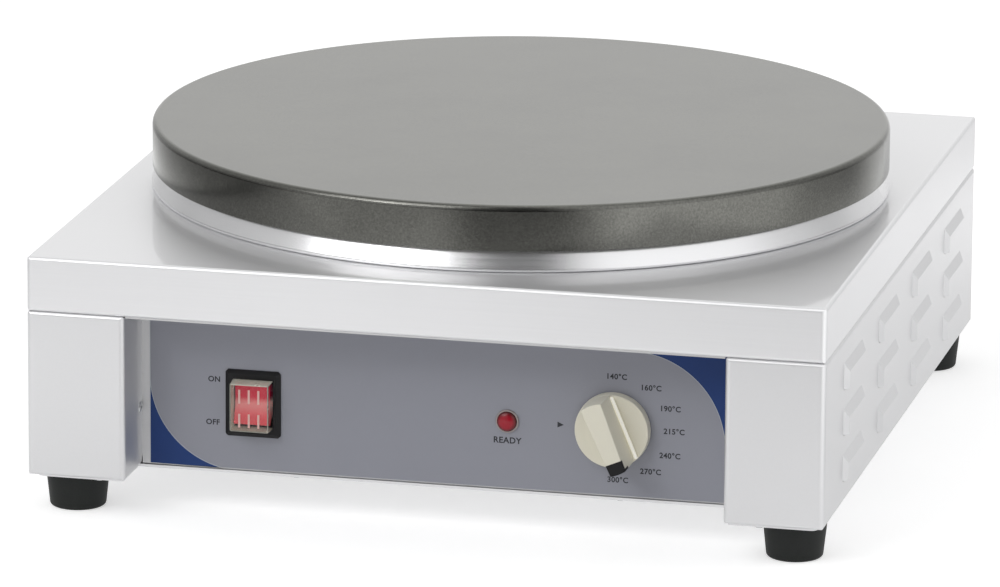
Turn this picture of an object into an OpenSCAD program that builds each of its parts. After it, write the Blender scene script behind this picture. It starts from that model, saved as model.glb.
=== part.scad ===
// Electric crepe maker: a round cast-iron hot plate on a folded stainless-steel body.
// Millimetres, +Z up, the front faces -Y. The origin lies on the hot plate's axis, level with the table.

/* [Body] */
// Width over the side panels
body_w = 427; // [415:1:460]
// Depth from the front posts to the rear panel
body_d = 440; // [432:1:470]
// Distance from the front of the posts to the hot plate's axis
axis_setback = 227; // [222:1:235]
// Height of the side panels and posts
side_h = 89; // [86:1:110]
// Height of the top cover's skirt
skirt_h = 29.4; // [29:0.2:36]
// Thickness of the side, rear and control panels
sheet_t = 1; // [0.8:0.1:1.2]
// Thickness of the top cover
cover_t = 1.2; // [1:0.1:1.5]
// Thickness of the base plate
base_t = 1.5; // [1.2:0.1:2]
// Outer radius of the upright corners
corner_r = 3; // [2.5:0.5:5]
// Outer radius of the folded edges
fold_r = 2; // [1.8:0.1:2.4]
// Width of the flanges turned in along the folded edges
flange_w = 14; // [13:0.5:15]

/* [Posts and recess] */
// Width of each front post
post_w = 53; // [46:1:54]
// Depth of the recess that the control panel lies in
recess_d = 35; // [32:1:40]

/* [Louvres] */
// Length of one louvre
louvre_len = 50; // [40:1:70]
// Height of one louvre
louvre_h = 14; // [10:0.5:18]
// How far a louvre stands out of the panel
louvre_rise = 2.6; // [2.2:0.1:4]
// Length over which a louvre's closed ends slope
louvre_end = 3; // [2:0.5:6]
// Height over which a louvre's top slopes
louvre_slope = 5; // [3:0.5:8]
// Spacing of the louvres along the panel
louvre_pitch_y = 98; // [80:1:105]
// Spacing of the louvres up the panel
louvre_pitch_z = 24.8; // [20:0.2:26]
// Distance from the front of the posts to the first louvre
louvre_first_y = 51; // [40:1:60]
// Height of the lowest louvre above the foot of the panel
louvre_first_z = 12.8; // [8:0.2:15]

/* [Hot plate] */
// Diameter of the hot plate
plate_d = 400; // [392:1:404]
// Height of the hot plate's rim
plate_h = 24; // [22:0.5:28]
// Thickness of the hot plate above the element
plate_web = 9; // [8:0.5:10]
// Wall of the hot plate's rim
rim_w = 9; // [7:0.5:11]
// Rounding of the hot plate's top edge
plate_edge_r = 3; // [1.5:0.5:4]
// Diameter of the studs
stud_d = 8; // [6:1:8]

/* [Collar] */
// Gap between the top cover and the hot plate
collar_gap = 11.7; // [10:0.1:16]
// How far the collar's foot stands out past the hot plate
collar_foot_out = 0.5; // [-1:0.5:4]
// How far the collar's top edge lies inside the hot plate's edge
collar_top_in = 3.2; // [2:0.1:5]
// Width of the collar's seat on the top cover
collar_seat_w = 12.5; // [10.5:0.5:15]

/* [Heating] */
// Diameter of the tubular element
element_d = 8; // [6.5:0.5:8.5]
// Distance from the element's outer turn to the edge of the insulation
element_inset = 10; // [8:1:13]
// Distance between the element's turns
element_pitch = 45; // [43:1:46]
// Half of the angle left open between the ends of each turn
element_gap = 15; // [13:1:18]
// Thickness of the clamp plate under the element
clamp_t = 2; // [1.5:0.1:3]
// Gap between the insulation and the inside of the hot plate's rim
insulation_gap = 16; // [15:1:19]
// Diameter of the thermostat's sensing bulb
bulb_d = 6; // [4:0.5:6]
// Length of the sensing bulb
bulb_len = 90; // [60:1:90]

/* [Rails] */
// Height of the two cross rails
rail_h = 17.7; // [16:0.1:20]
// Width across the top of a rail
rail_w = 30; // [26:1:34]
// Thickness of the rails
rail_t = 1.5; // [1.2:0.1:2]

/* [Feet] */
// Height of a rubber foot
foot_h = 20.5; // [16:0.5:30]
// Diameter of a foot where it meets the base
foot_top_d = 34; // [30:1:36]
// Diameter of a foot on the table
foot_bottom_d = 30; // [24:1:32]
// Distance of the feet from the sides
foot_side_inset = 20; // [19:0.5:22]
// Distance of the front feet from the front
foot_front_inset = 27; // [25:1:30]
// Distance of the rear feet from the rear
foot_rear_inset = 22; // [21:1:28]

/* [Controls] */
// Height of the controls above the foot of the panel
control_z = 37.4; // [34:0.2:45]
// Bend radius at the panel's lower edge
panel_foot_r = 1.2; // [1.1:0.1:2]
// Thickness of the printed overlay
overlay_t = 0.4; // [0.3:0.1:0.6]
// Gap between the overlay and each post
overlay_side_gap = 4.5; // [3.5:0.5:10]
// Gap between the overlay and the top of the panel
overlay_top_gap = 5; // [5:1:13]
// Distance of the switch's centre from the left post
switch_inset = 61; // [50:0.5:70]
// Width of the switch's bezel
bezel_w = 30; // [29:0.5:32]
// Height of the switch's bezel
bezel_h = 36.3; // [35:0.1:39]
// Width of the sloped band round the bezel
bezel_slope_w = 2; // [1:0.1:2.5]
// Cut at the bezel's corners
bezel_corner = 1.4; // [0.8:0.1:2]
// Width of the clear cover over the rocker
clear_w = 22; // [21.5:0.1:23]
// Height of the clear cover
clear_h = 26.8; // [26.6:0.1:28]
// How far the clear cover stands out of the overlay
clear_reach = 9.6; // [8.5:0.1:12]
// Tilt of the rocker each way
rocker_tilt = 9; // [7:0.5:9]
// Distance of the pilot lamp from the knob's axis
lamp_offset = 57.1; // [50:0.1:75]
// Diameter of the pilot lamp's bezel
lamp_d = 12.4; // [11.5:0.1:14]
// Distance of the knob's axis from the right post
knob_inset = 65.5; // [60:0.5:70]
// Diameter of the knob
knob_d = 39.8; // [39:0.1:44]
// Height of the knob's disc above the overlay
knob_disc_h = 6.6; // [6:0.1:8]
// Height of the knob's grip bar above the overlay
knob_h = 24.6; // [20:0.1:28]
// Width of the grip bar at its middle
grip_w = 10; // [9.5:0.5:13]
// Angle at which each side of the grip bar leans in towards the pointer
grip_taper = 2.5; // [0:0.5:3]
// Draft of the grip bar's walls
grip_draft = 4; // [0:0.5:5]
// Dial angle that the knob points to, clockwise from the top
knob_angle = 157; // [0:1:177]
// Diameter of the thermostat's shaft
shaft_d = 6; // [5:0.5:6]

/* [Mains entry] */
// Distance of the cable gland from the left side
gland_inset = 63.5; // [53.5:0.5:73.5]
// Height of the cable gland above the foot of the panel
gland_z = 40; // [34:1:50]
// Diameter of the gland's bore
gland_bore_d = 9; // [7:0.5:10]
// How far the gland stands out of the rear panel
gland_reach = 14; // [12:0.5:18]

/* [Hidden] */
$fn = 64;

// Clearance between a fastener or spigot and its hole, on the radius
fit_gap = 0.05;
// Clearance between neighbouring pieces that only need to pass each other
loose_gap = 0.3;
// Extra length of a cut past the face that it goes through
past = 1;
// How far one stretch of a tube runs into the next, and how much slimmer it is there
lap = 0.3;
slim = 0.02;

// Main levels and faces
front_y = -axis_setback;
rear_y = body_d - axis_setback;
side_x = body_w / 2;
body_z = foot_h + base_t;
cover_z = body_z + side_h;
cover_top = cover_z + skirt_h;
plate_z = cover_top + collar_gap;
plate_top = plate_z + plate_h;
panel_y = front_y + recess_d;
face_y = panel_y - overlay_t;
panel_back = panel_y + sheet_t;
post_in_x = side_x - post_w;
flange_mid_x = side_x - flange_w / 2;
panel_rear_y = rear_y - sheet_t;
overlay_half_w = post_in_x - overlay_side_gap;
switch_x = switch_inset - post_in_x;
knob_x = post_in_x - knob_inset;
lamp_x = knob_x - lamp_offset;
gland_x = -side_x + gland_inset;

// Hot plate and heating stack, from the top down
plate_r = plate_d / 2;
rim_in_r = plate_r - rim_w;
collar_foot_r = plate_r + collar_foot_out;
collar_top_r = plate_r - collar_top_in;
well_r = collar_foot_r - collar_seat_w;
insulation_r = rim_in_r - insulation_gap;
element_r = insulation_r - element_inset;
web_z = plate_top - plate_web;
element_z = web_z - element_d / 2 - 0.1;
clamp_top = element_z - element_d / 2 - 0.05;
clamp_z = clamp_top - clamp_t;
stud_r = stud_d / 2;
stud_nut_r = stud_d * 0.94;
stud_nut_h = stud_d * 0.8125;
rail_z = cover_z + cover_t;
rail_top = rail_z + rail_h;
pan_z = rail_top + stud_nut_h;
pan_t = 0.8;
pan_bend_r = 1.6;
turn_r = [element_r, element_r - element_pitch, element_r - 2 * element_pitch];
leg_bend = 10;
leg_gap = 1;
leg_z = rail_top - 7;
pin_r = 2;
pin_z = leg_z - 6;

// The studs stand midway between the element's two outer turns
stud_spacing = (turn_r[0] + turn_r[1]) * sqrt(0.5);

// Sensing bulb, in the space between the element's two inner turns
bulb_y = -(turn_r[1] + turn_r[2]) / 2 + 0.5;
bulb_z = web_z - bulb_d / 2 - 0.2;
capillary_r = 0.9;
capillary_x = 54;
clip_boss_y = bulb_y - bulb_d / 2 - 8;
clip_t = 1;
clip_z = bulb_z - bulb_d / 2 - clip_t;

// Fastener radii
m3_r = 1.5;
m4_r = 2;
m5_r = 2.5;

function unit(v) = v / norm(v);
function turn_short(a) = a > 180 ? a - 360 : a < -180 ? a + 360 : a;
function polar(r, a) = [r * cos(a), r * sin(a)];

// Points of an arc about c, from angle a0 to a1
function arc(c, r, a0, a1, n = 6) = [for (i = [0:n]) c + polar(r, a0 + (a1 - a0) * i / n)];

// A vertex of a path rounded to radius r
function fillet(a, b, c, r, n) =
    let (
        u = unit(a - b),
        v = unit(c - b),
        half = acos(u * v) / 2,
        centre = b + unit(u + v) * r / sin(half),
        start = b + u * r / tan(half) - centre,
        end = b + v * r / tan(half) - centre,
        a0 = atan2(start.y, start.x),
        sweep = turn_short(atan2(end.y, end.x) - a0)
    )
    arc(centre, r, a0, a0 + sweep, n);

// A path with every inner vertex rounded, by one radius or by a list with one for each
function rounded_path(p, r, n = 4) = [
    p[0],
    for (i = [1:len(p) - 2]) each fillet(p[i - 1], p[i], p[i + 1], is_list(r) ? r[i - 1] : r, n),
    p[len(p) - 1]
];

function left_normal(a, b) = let (d = unit(b - a)) [-d.y, d.x];

// A vertex of a path moved to its left by t, mitred
function mitre(p, i, t) =
    let (
        last = len(p) - 1,
        before = i == 0 ? left_normal(p[0], p[1]) : left_normal(p[i - 1], p[i]),
        after = i == last ? left_normal(p[last - 1], p[last]) : left_normal(p[i], p[i + 1])
    )
    p[i] + (before + after) * t / (1 + before * after);

// Outline of a sheet whose right-hand face follows a path
function sheet_outline(p, t) = concat(p, [for (i = [len(p) - 1:-1:0]) mitre(p, i, t)]);

// Rectangle with rounded corners, from corner lo to corner hi
module round_rect(lo, hi, r) {
    translate([lo.x + r, lo.y]) square([hi.x - lo.x - 2 * r, hi.y - lo.y]);
    translate([lo.x, lo.y + r]) square([hi.x - lo.x, hi.y - lo.y - 2 * r]);
    for (x = [lo.x + r, hi.x - r], y = [lo.y + r, hi.y - r]) translate([x, y]) circle(r);
}

// Box from corner lo to corner hi
module block(lo, hi) {
    translate(lo) cube(hi - lo);
}

// Box with rounded upright corners and rounded level edges, as folded sheet has
module folded_box(lo, hi, upright_r, edge_r) {
    intersection() {
        translate([0, 0, lo.z])
            linear_extrude(hi.z - lo.z) round_rect([lo.x, lo.y], [hi.x, hi.y], upright_r);
        translate([0, hi.y, 0]) rotate([90, 0, 0])
            linear_extrude(hi.y - lo.y) round_rect([lo.x, lo.z], [hi.x, hi.z], edge_r);
        translate([lo.x, 0, 0]) rotate([90, 0, 90])
            linear_extrude(hi.x - lo.x) round_rect([lo.y, lo.z], [hi.y, hi.z], edge_r);
    }
}

// Places a child whose +Z points forwards, out of the control panel
module facing_front(x, y, z) {
    translate([x, y, z]) rotate([90, 0, 0]) children();
}

// Places a child whose +Z points backwards, out of the rear panel
module facing_rear(x, y, z) {
    translate([x, y, z]) rotate([-90, 0, 0]) children();
}

module hex(r, h) {
    rotate([0, 0, 30]) cylinder(r = r, h = h, $fn = 6);
}

// Nut that stands on z = 0
module nut(hole_r, r, h) {
    difference() {
        hex(r, h);
        translate([0, 0, -past]) cylinder(r = hole_r, h = h + 2 * past);
    }
}

// Screw whose head stands above z = 0 and whose shank hangs below
module screw(shank_r, head_r, head_h, length) {
    difference() {
        union() {
            translate([0, 0, -length]) cylinder(r = shank_r, h = length + head_h / 2);
            rotate_extrude() polygon(concat([[0, 0]], arc([0, 0], 1, 0, 90) * [[head_r, 0], [0, head_h]]));
        }
        for (a = [0, 90]) rotate([0, 0, a])
            translate([-head_r * 0.55, -0.4, head_h * 0.45]) cube([head_r * 1.1, 0.8, head_h]);
    }
}

// Round wire or tube that follows points, with bends of radius bend.
// Each straight is a little slimmer than the bends and runs a short way into them.
module pipe(points, r, bend) {
    last = len(points) - 1;
    heading = [for (i = [0:last - 1]) unit(points[i + 1] - points[i])];
    half = [for (i = [0:last]) i == 0 || i == last ? 0 : acos(heading[i - 1] * heading[i]) / 2];
    trim = [for (i = [0:last]) i == 0 || i == last ? 0 : bend * tan(half[i]) - lap];
    $fn = 24;
    for (i = [0:last - 1]) {
        d = heading[i];
        run = norm(points[i + 1] - points[i]) - trim[i] - trim[i + 1];
        translate(points[i] + d * trim[i]) rotate([0, acos(d.z), atan2(d.y, d.x)])
            cylinder(r = r - slim, h = run);
    }
    for (i = [1:last - 1]) {
        along = heading[i - 1];
        inward = unit(heading[i] - (heading[i] * along) * along);
        across = cross(-inward, along);
        centre = points[i] - along * (trim[i] + lap) + inward * bend;
        multmatrix([
            [-inward.x, along.x, across.x, centre.x],
            [-inward.y, along.y, across.y, centre.y],
            [-inward.z, along.z, across.z, centre.z],
            [0, 0, 0, 1]
        ]) rotate_extrude(angle = 2 * half[i]) translate([bend, 0]) circle(r);
    }
}

// ---- Top cover and collar ----

collar_bend_r = 1.6;
collar_flange_in_r = well_r + 1;
collar_screw_r = (collar_flange_in_r + collar_foot_r - collar_bend_r) / 2 - 1;
collar_h = collar_gap - 0.5;
collar_screw_angles = [45, 135, 225, 315];
rail_foot_w = flange_w;
rail_leg_r = 2;
rail_screw_dy = rail_w / 2 + rail_foot_w / 2 + rail_t / 2;

// Places a child at each end of both rails, where the frame screws go
module at_frame_screws() {
    for (x = [-flange_mid_x, flange_mid_x], y = [-stud_spacing / 2, stud_spacing / 2], s = [-1, 1])
        translate([x, y + s * rail_screw_dy, 0]) children();
}

module top_cover() {
    lo = [-side_x, front_y, cover_z];
    hi = [side_x, rear_y, cover_top];
    wall = [cover_t, cover_t, cover_t];
    flange = [flange_w, flange_w, 0];
    color("gainsboro") difference() {
        folded_box(lo, hi, corner_r, fold_r);
        folded_box(lo + wall, hi - wall, corner_r - cover_t, fold_r - cover_t);
        block(lo + flange - [0, 0, past], [hi.x - flange_w, hi.y - flange_w, rail_z + past]);
        translate([0, 0, cover_top - cover_t - past]) cylinder(r = well_r, h = cover_t + 2 * past, $fn = 180);
        for (a = collar_screw_angles) rotate([0, 0, a])
            translate([collar_screw_r, 0, cover_top - cover_t - past])
                cylinder(r = m3_r + fit_gap, h = cover_t + 2 * past);
        at_frame_screws() translate([0, 0, cover_z - past])
            cylinder(r = m4_r + fit_gap, h = cover_t + 2 * past);
    }
}

// Drawn ring that closes the gap between the cover and the hot plate
module collar_ring() {
    foot_c = [collar_foot_r - collar_bend_r, collar_bend_r];
    top_c = [collar_top_r - collar_bend_r, collar_h - collar_bend_r];
    lean = atan2(foot_c.x - top_c.x, top_c.y - foot_c.y);
    outer = concat(
        [[collar_flange_in_r, 0]],
        arc(foot_c, collar_bend_r, -90, lean),
        arc(top_c, collar_bend_r, lean, 90),
        [[rim_in_r + 1, collar_h]]
    );
    color("silver") difference() {
        translate([0, 0, cover_top]) rotate_extrude($fn = 180) polygon(sheet_outline(outer, sheet_t));
        for (a = collar_screw_angles) rotate([0, 0, a])
            translate([collar_screw_r, 0, cover_top - past]) cylinder(r = m3_r + fit_gap, h = sheet_t + 2 * past);
    }
}

module collar_screws() {
    color("silver") for (a = collar_screw_angles) rotate([0, 0, a])
        translate([collar_screw_r, 0, cover_top + sheet_t]) screw(m3_r, 2.6, 1.8, sheet_t + cover_t + 6);
}

// ---- Hot plate ----

gusset_count = 24;
gusset_t = 3;
gusset_in_r = element_r + element_d / 2 + 4;
hub_rib_count = 6;
hub_r = 14;
hub_rib_r = turn_r[2] - element_d / 2 - 8;
rib_h = 5;
cast_r = 4;
boss_r = stud_r + 5;
boss_h = 7;

module at_studs() {
    for (x = [-1, 1], y = [-1, 1]) translate([x * stud_spacing / 2, y * stud_spacing / 2, 0]) children();
}

module hot_plate() {
    section = concat(
        [[0, plate_top], [0, web_z]],
        arc([rim_in_r - cast_r, web_z - cast_r], cast_r, 90, 0),
        [[rim_in_r, plate_z], [plate_r, plate_z]],
        arc([plate_r - plate_edge_r, plate_top - plate_edge_r], plate_edge_r, 0, 90, 8)
    );
    color([0.27, 0.27, 0.25]) difference() {
        union() {
            rotate_extrude($fn = 180) polygon(section);
            for (i = [0:gusset_count - 1]) rotate([0, 0, (i + 0.5) * 360 / gusset_count])
                rotate([90, 0, 0]) translate([0, 0, -gusset_t / 2]) linear_extrude(gusset_t) polygon([
                    [gusset_in_r, web_z + past],
                    [rim_in_r + past, web_z + past],
                    [rim_in_r + past, plate_z + 5],
                    [rim_in_r - 2, plate_z + 5],
                    [gusset_in_r, web_z - 1]
                ]);
            translate([0, 0, web_z - rib_h]) cylinder(r = hub_r, h = rib_h + past);
            for (i = [0:hub_rib_count - 1]) rotate([0, 0, i * 360 / hub_rib_count])
                block([0, -2, web_z - rib_h], [hub_rib_r, 2, web_z + past]);
            at_studs() translate([0, 0, web_z - boss_h]) cylinder(r = boss_r, h = boss_h + past);
            translate([0, clip_boss_y, clip_z + clip_t]) cylinder(r = 4, h = web_z - clip_z);
        }
        at_studs() translate([0, 0, web_z - boss_h - past])
            cylinder(r = stud_r + fit_gap, h = boss_h + past + plate_web / 2);
        translate([0, clip_boss_y, clip_z]) cylinder(r = m3_r + fit_gap, h = web_z - clip_z + 3);
    }
}

module plate_studs() {
    color("silver") at_studs() translate([0, 0, rail_top - rail_t - stud_nut_h - 3])
        cylinder(r = stud_r, h = web_z + plate_web / 2 - 0.5 - (rail_top - rail_t - stud_nut_h - 3));
}

module stud_nuts() {
    color("silver") at_studs() for (z = [clamp_z - stud_nut_h, rail_top, rail_top - rail_t - stud_nut_h])
        translate([0, 0, z]) nut(stud_r + fit_gap, stud_nut_r, stud_nut_h);
}

// ---- Heating stack ----

turn_start = 180 + element_gap;
turn_sweep = 360 - 2 * element_gap;
outer_end = polar(turn_r[0], turn_start);
outer_heading = polar(1, turn_start - 90);
inner_end = polar(turn_r[2], 180 - element_gap);
inner_heading = polar(1, 180 - element_gap + 90);
outer_leg = outer_end + outer_heading * leg_bend;
inner_leg = inner_end + inner_heading * leg_bend;

// Slot for a leg of the element, long enough for its bend
module leg_slot(end, heading, h) {
    r = element_d / 2 + leg_gap;
    translate([end.x, end.y, 0]) rotate([0, 0, atan2(heading.y, heading.x)]) {
        for (s = [element_d / 2, leg_bend]) translate([s, 0, 0]) cylinder(r = r, h = h);
        translate([element_d / 2, -r, 0]) cube([leg_bend - element_d / 2, 2 * r, h]);
    }
}

// Half turn that joins two turns of the element, at an angle of the turns
module return_bend(r_out, r_in, angle, side) {
    bend = (r_out - r_in) / 2;
    over = lap / bend * 180 / PI;
    rotate([0, 0, angle]) translate([r_in + bend, 0, 0]) rotate([0, 0, (side > 0 ? 0 : 180) - over])
        rotate_extrude(angle = 180 + 2 * over) translate([bend, 0]) circle(element_d / 2 - slim);
}

module element_leg(end, heading) {
    start = end - heading * lap;
    leg = end + heading * leg_bend;
    pipe([
        [start.x, start.y, 0],
        [leg.x, leg.y, 0],
        [leg.x, leg.y, leg_z - element_z]
    ], element_d / 2, leg_bend);
    translate([leg.x, leg.y, pin_z - element_z]) cylinder(r = pin_r, h = leg_z - pin_z + 2);
}

module heating_element() {
    $fn = 24;
    color([0.35, 0.33, 0.32]) translate([0, 0, element_z]) {
        for (r = turn_r) rotate([0, 0, turn_start]) rotate_extrude(angle = turn_sweep, $fn = 96)
            translate([r, 0]) circle(element_d / 2, $fn = 24);
        return_bend(turn_r[0], turn_r[1], 180 - element_gap, 1);
        return_bend(turn_r[1], turn_r[2], 180 + element_gap, -1);
        element_leg(outer_end, outer_heading);
        element_leg(inner_end, inner_heading);
    }
}

// Holes for the studs, the element's legs and the capillary, through a disc from z0 to z1
module stack_holes(z0, z1, stud_hole_r) {
    h = z1 - z0 + 2 * past;
    translate([0, 0, z0 - past]) {
        at_studs() cylinder(r = stud_hole_r, h = h);
        leg_slot(outer_end, outer_heading, h);
        leg_slot(inner_end, inner_heading, h);
        translate([capillary_x, bulb_y, 0]) cylinder(r = capillary_r + 1.5, h = h);
    }
}

module element_clamp_plate() {
    color("silver") difference() {
        translate([0, 0, clamp_z]) cylinder(r = insulation_r, h = clamp_t, $fn = 120);
        stack_holes(clamp_z, clamp_top, stud_r + fit_gap);
        translate([0, clip_boss_y, clamp_z - past]) cylinder(r = 6, h = clamp_t + 2 * past);
        for (a = [0:60:300]) rotate([0, 0, a + 30])
            translate([(turn_r[0] + turn_r[1]) / 2, 0, clamp_z - past]) cylinder(r = 6, h = clamp_t + 2 * past);
    }
}

// Fibre pad whose lower edge is cut back where the pan's bend is
module insulation_pad() {
    floor_z = pan_z + pan_t;
    edge = pan_bend_r - pan_t;
    color([0.93, 0.92, 0.87]) difference() {
        translate([0, 0, floor_z]) {
            cylinder(r1 = insulation_r - edge, r2 = insulation_r, h = edge, $fn = 120);
            translate([0, 0, edge]) cylinder(r = insulation_r, h = clamp_z - floor_z - edge, $fn = 120);
        }
        stack_holes(pan_z, clamp_z, stud_nut_r + 1);
    }
}

// Sheet pan that carries the insulation and turns the heat back up
module insulation_pan() {
    wall_r = insulation_r + loose_gap + pan_t;
    outer = rounded_path([
        [0, pan_z], [wall_r, pan_z], [wall_r, clamp_top - pan_t], [wall_r + 6, clamp_top - pan_t]
    ], pan_bend_r, 3);
    color([0.75, 0.75, 0.74]) difference() {
        rotate_extrude($fn = 120) polygon(sheet_outline(outer, pan_t));
        stack_holes(pan_z, pan_z + pan_t, stud_r + fit_gap);
    }
}

module sensor_bulb() {
    neck = 3;
    color([0.72, 0.45, 0.3]) translate([capillary_x - 10 - bulb_len, bulb_y, bulb_z]) rotate([0, 90, 0])
        rotate_extrude() polygon([
            [0, 0], [bulb_d / 2 - 0.5, 0], [bulb_d / 2, 0.5], [bulb_d / 2, bulb_len - neck],
            [capillary_r + 0.6, bulb_len], [0, bulb_len]
        ]);
}

module bulb_clip() {
    front = clip_boss_y - 5;
    back = bulb_y + bulb_d / 2 + fit_gap;
    color("silver") difference() {
        block([-5, front, clip_z], [5, back + clip_t, clip_z + clip_t]);
        translate([0, clip_boss_y, clip_z - past]) cylinder(r = m3_r + fit_gap, h = clip_t + 2 * past);
    }
    color("silver") block([-5, back, clip_z], [5, back + clip_t, bulb_z + 1]);
}

module bulb_clip_screw() {
    color("silver") translate([0, clip_boss_y, clip_z]) rotate([180, 0, 0])
        screw(m3_r, 2.6, 1.8, clip_t + bulb_d);
}

module capillary_tube() {
    over_rail = (rail_top + pan_z) / 2;
    front = -stud_spacing / 2 - rail_w - 10;
    top = body_z + control_z + thermostat_h / 2;
    color([0.72, 0.45, 0.3]) pipe([
        [knob_x + 15, panel_back + 16, top],
        [knob_x + 15, panel_back + 16, top + 14],
        [capillary_x, front, top + 26],
        [capillary_x, front, over_rail],
        [capillary_x, bulb_y, over_rail],
        [capillary_x, bulb_y, bulb_z],
        [capillary_x - 10, bulb_y, bulb_z]
    ], capillary_r, capillary_r + 1.9);
}

// ---- Rails that carry the hot plate ----

module rail(y) {
    half = rail_w / 2;
    end_x = side_x - cover_t - 0.8;
    outline = rounded_path([
        [-half - rail_foot_w, 0], [-half, 0], [-half, rail_h - rail_t],
        [half, rail_h - rail_t], [half, 0], [half + rail_foot_w, 0]
    ], rail_leg_r, 3);
    color([0.8, 0.8, 0.8]) difference() {
        translate([-end_x, y, rail_z]) rotate([90, 0, 90])
            linear_extrude(2 * end_x) polygon(sheet_outline(outline, rail_t));
        for (x = [-1, 1]) translate([x * stud_spacing / 2, y, rail_top - rail_t - past])
            cylinder(r = stud_r + fit_gap, h = rail_t + 2 * past);
        at_frame_screws() translate([0, 0, rail_z - past]) cylinder(r = m4_r + fit_gap, h = rail_t + 2 * past);
    }
}

module front_rail() {
    rail(-stud_spacing / 2);
}

module rear_rail() {
    rail(stud_spacing / 2);
}

module frame_screws() {
    color("silver") at_frame_screws() translate([0, 0, cover_z - sheet_t]) rotate([180, 0, 0])
        screw(m4_r, 3.8, 2.4, sheet_t + cover_t + rail_t + 6);
}

module frame_nuts() {
    color("silver") at_frame_screws() translate([0, 0, rail_z + rail_t]) nut(m4_r + fit_gap, 4, 3.2);
}

// ---- Side panels with posts and louvres ----

base_inset = 4;
base_flange_h = 14;
base_flange_x = side_x - flange_w - 4;
rivet_r = 1.6;
rivet_y = panel_y - 3.4;
rivet_z = body_z + 32;
rear_screw_z = [body_z + 15, body_z + side_h - 15];
foot_screw_offset = (foot_top_d / 2 + 5.4) * sqrt(0.5);
foot_places = [
    [-side_x + foot_side_inset, front_y + foot_front_inset],
    [side_x - foot_side_inset, front_y + foot_front_inset],
    [-side_x + foot_side_inset, rear_y - foot_rear_inset],
    [side_x - foot_side_inset, rear_y - foot_rear_inset]
];
base_screw_places = [
    for (x = [-1, 1]) each [
        [x * (side_x - foot_side_inset - foot_screw_offset), front_y + foot_front_inset - foot_screw_offset],
        [x * flange_mid_x, front_y + body_d * 0.4],
        [x * flange_mid_x, front_y + body_d * 0.75]
    ]
];
panel_screw_places = [[-78, panel_back + 7], [97, panel_back + 7]];

// Pressed louvre that stands out of the plane x = 0 and reaches back by depth. It is open at its foot.
module louvre_form(length, height, rise, depth, floor_cut = 0) {
    intersection() {
        translate([0, length / 2, 0]) rotate([90, 0, 0]) linear_extrude(length) polygon([
            [-depth, -floor_cut], [rise, -floor_cut], [rise, height - louvre_slope], [0, height], [-depth, height]
        ]);
        translate([0, 0, -floor_cut]) linear_extrude(height + floor_cut) polygon([
            [-depth, -length / 2], [0, -length / 2], [rise, -length / 2 + louvre_end],
            [rise, length / 2 - louvre_end], [0, length / 2], [-depth, length / 2]
        ]);
    }
}

// Places a child on the right-hand side at each louvre, its +X pointing outwards
module at_louvres() {
    columns = floor((body_d - louvre_first_y - louvre_len - flange_w) / louvre_pitch_y);
    rows = floor((side_h - louvre_first_z - louvre_h - fold_r) / louvre_pitch_z);
    for (i = [0:columns], k = [0:rows]) translate([
        side_x, front_y + louvre_first_y + louvre_len / 2 + i * louvre_pitch_y,
        body_z + louvre_first_z + k * louvre_pitch_z
    ]) children();
}

// The right-hand panel. Its front end is folded round into a post.
module side_panel() {
    wall = [sheet_t, sheet_t, sheet_t];
    lo = [post_in_x, front_y, body_z];
    hi = [side_x, panel_rear_y, cover_z];
    wide_lo = [0, front_y, body_z];
    color("gainsboro") difference() {
        union() {
            intersection() {
                folded_box(lo, [side_x, panel_y + 60, cover_z], corner_r, fold_r);
                block(lo - wall, [side_x + past, panel_y, cover_z + past]);
            }
            intersection() {
                folded_box(wide_lo, hi, corner_r, fold_r);
                block([side_x - flange_w, panel_y, body_z - past], hi + wall);
            }
            at_louvres() louvre_form(louvre_len, louvre_h, louvre_rise, sheet_t);
        }
        intersection() {
            folded_box(lo + wall, [side_x - sheet_t, panel_y + 60, cover_z - sheet_t],
                corner_r - sheet_t, fold_r - sheet_t);
            block(lo, [side_x, panel_y + past, cover_z]);
        }
        intersection() {
            folded_box(wide_lo + wall, hi - wall, corner_r - sheet_t, fold_r - sheet_t);
            block([side_x - flange_w - past, panel_y, body_z], hi);
        }
        at_louvres() translate([-sheet_t, 0, 0])
            louvre_form(louvre_len - sheet_t, louvre_h - sheet_t / 2, louvre_rise, past, past);
        translate([post_in_x - past, rivet_y, rivet_z]) rotate([0, 90, 0])
            cylinder(r = rivet_r + fit_gap, h = sheet_t + 2 * past);
        at_frame_screws() translate([0, 0, cover_z - sheet_t - past])
            cylinder(r = m4_r + fit_gap, h = sheet_t + 2 * past);
        for (p = base_screw_places) translate([p.x, p.y, body_z - past])
            cylinder(r = m4_r + fit_gap, h = sheet_t + 2 * past);
        for (p = foot_places) if (p.y < 0) translate([p.x, p.y, body_z - past])
            cylinder(r = m5_r + fit_gap, h = sheet_t + 2 * past);
        for (z = rear_screw_z) facing_rear(flange_mid_x, panel_rear_y - sheet_t - past, z)
            cylinder(r = m3_r + fit_gap, h = sheet_t + 2 * past);
    }
}

module left_side_panel() {
    mirror([1, 0, 0]) side_panel();
}

module right_side_panel() {
    side_panel();
}

// ---- Rear panel and base ----

rear_edge = 4;
rear_flange_screw_x = [-90, 0, 90];
rear_flange_screw_z = body_z + base_flange_h / 2;

module at_rear_screws() {
    for (x = [-flange_mid_x, flange_mid_x], z = rear_screw_z) facing_rear(x, rear_y, z) children();
    for (x = rear_flange_screw_x) facing_rear(x, rear_y, rear_flange_screw_z) children();
}

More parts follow.
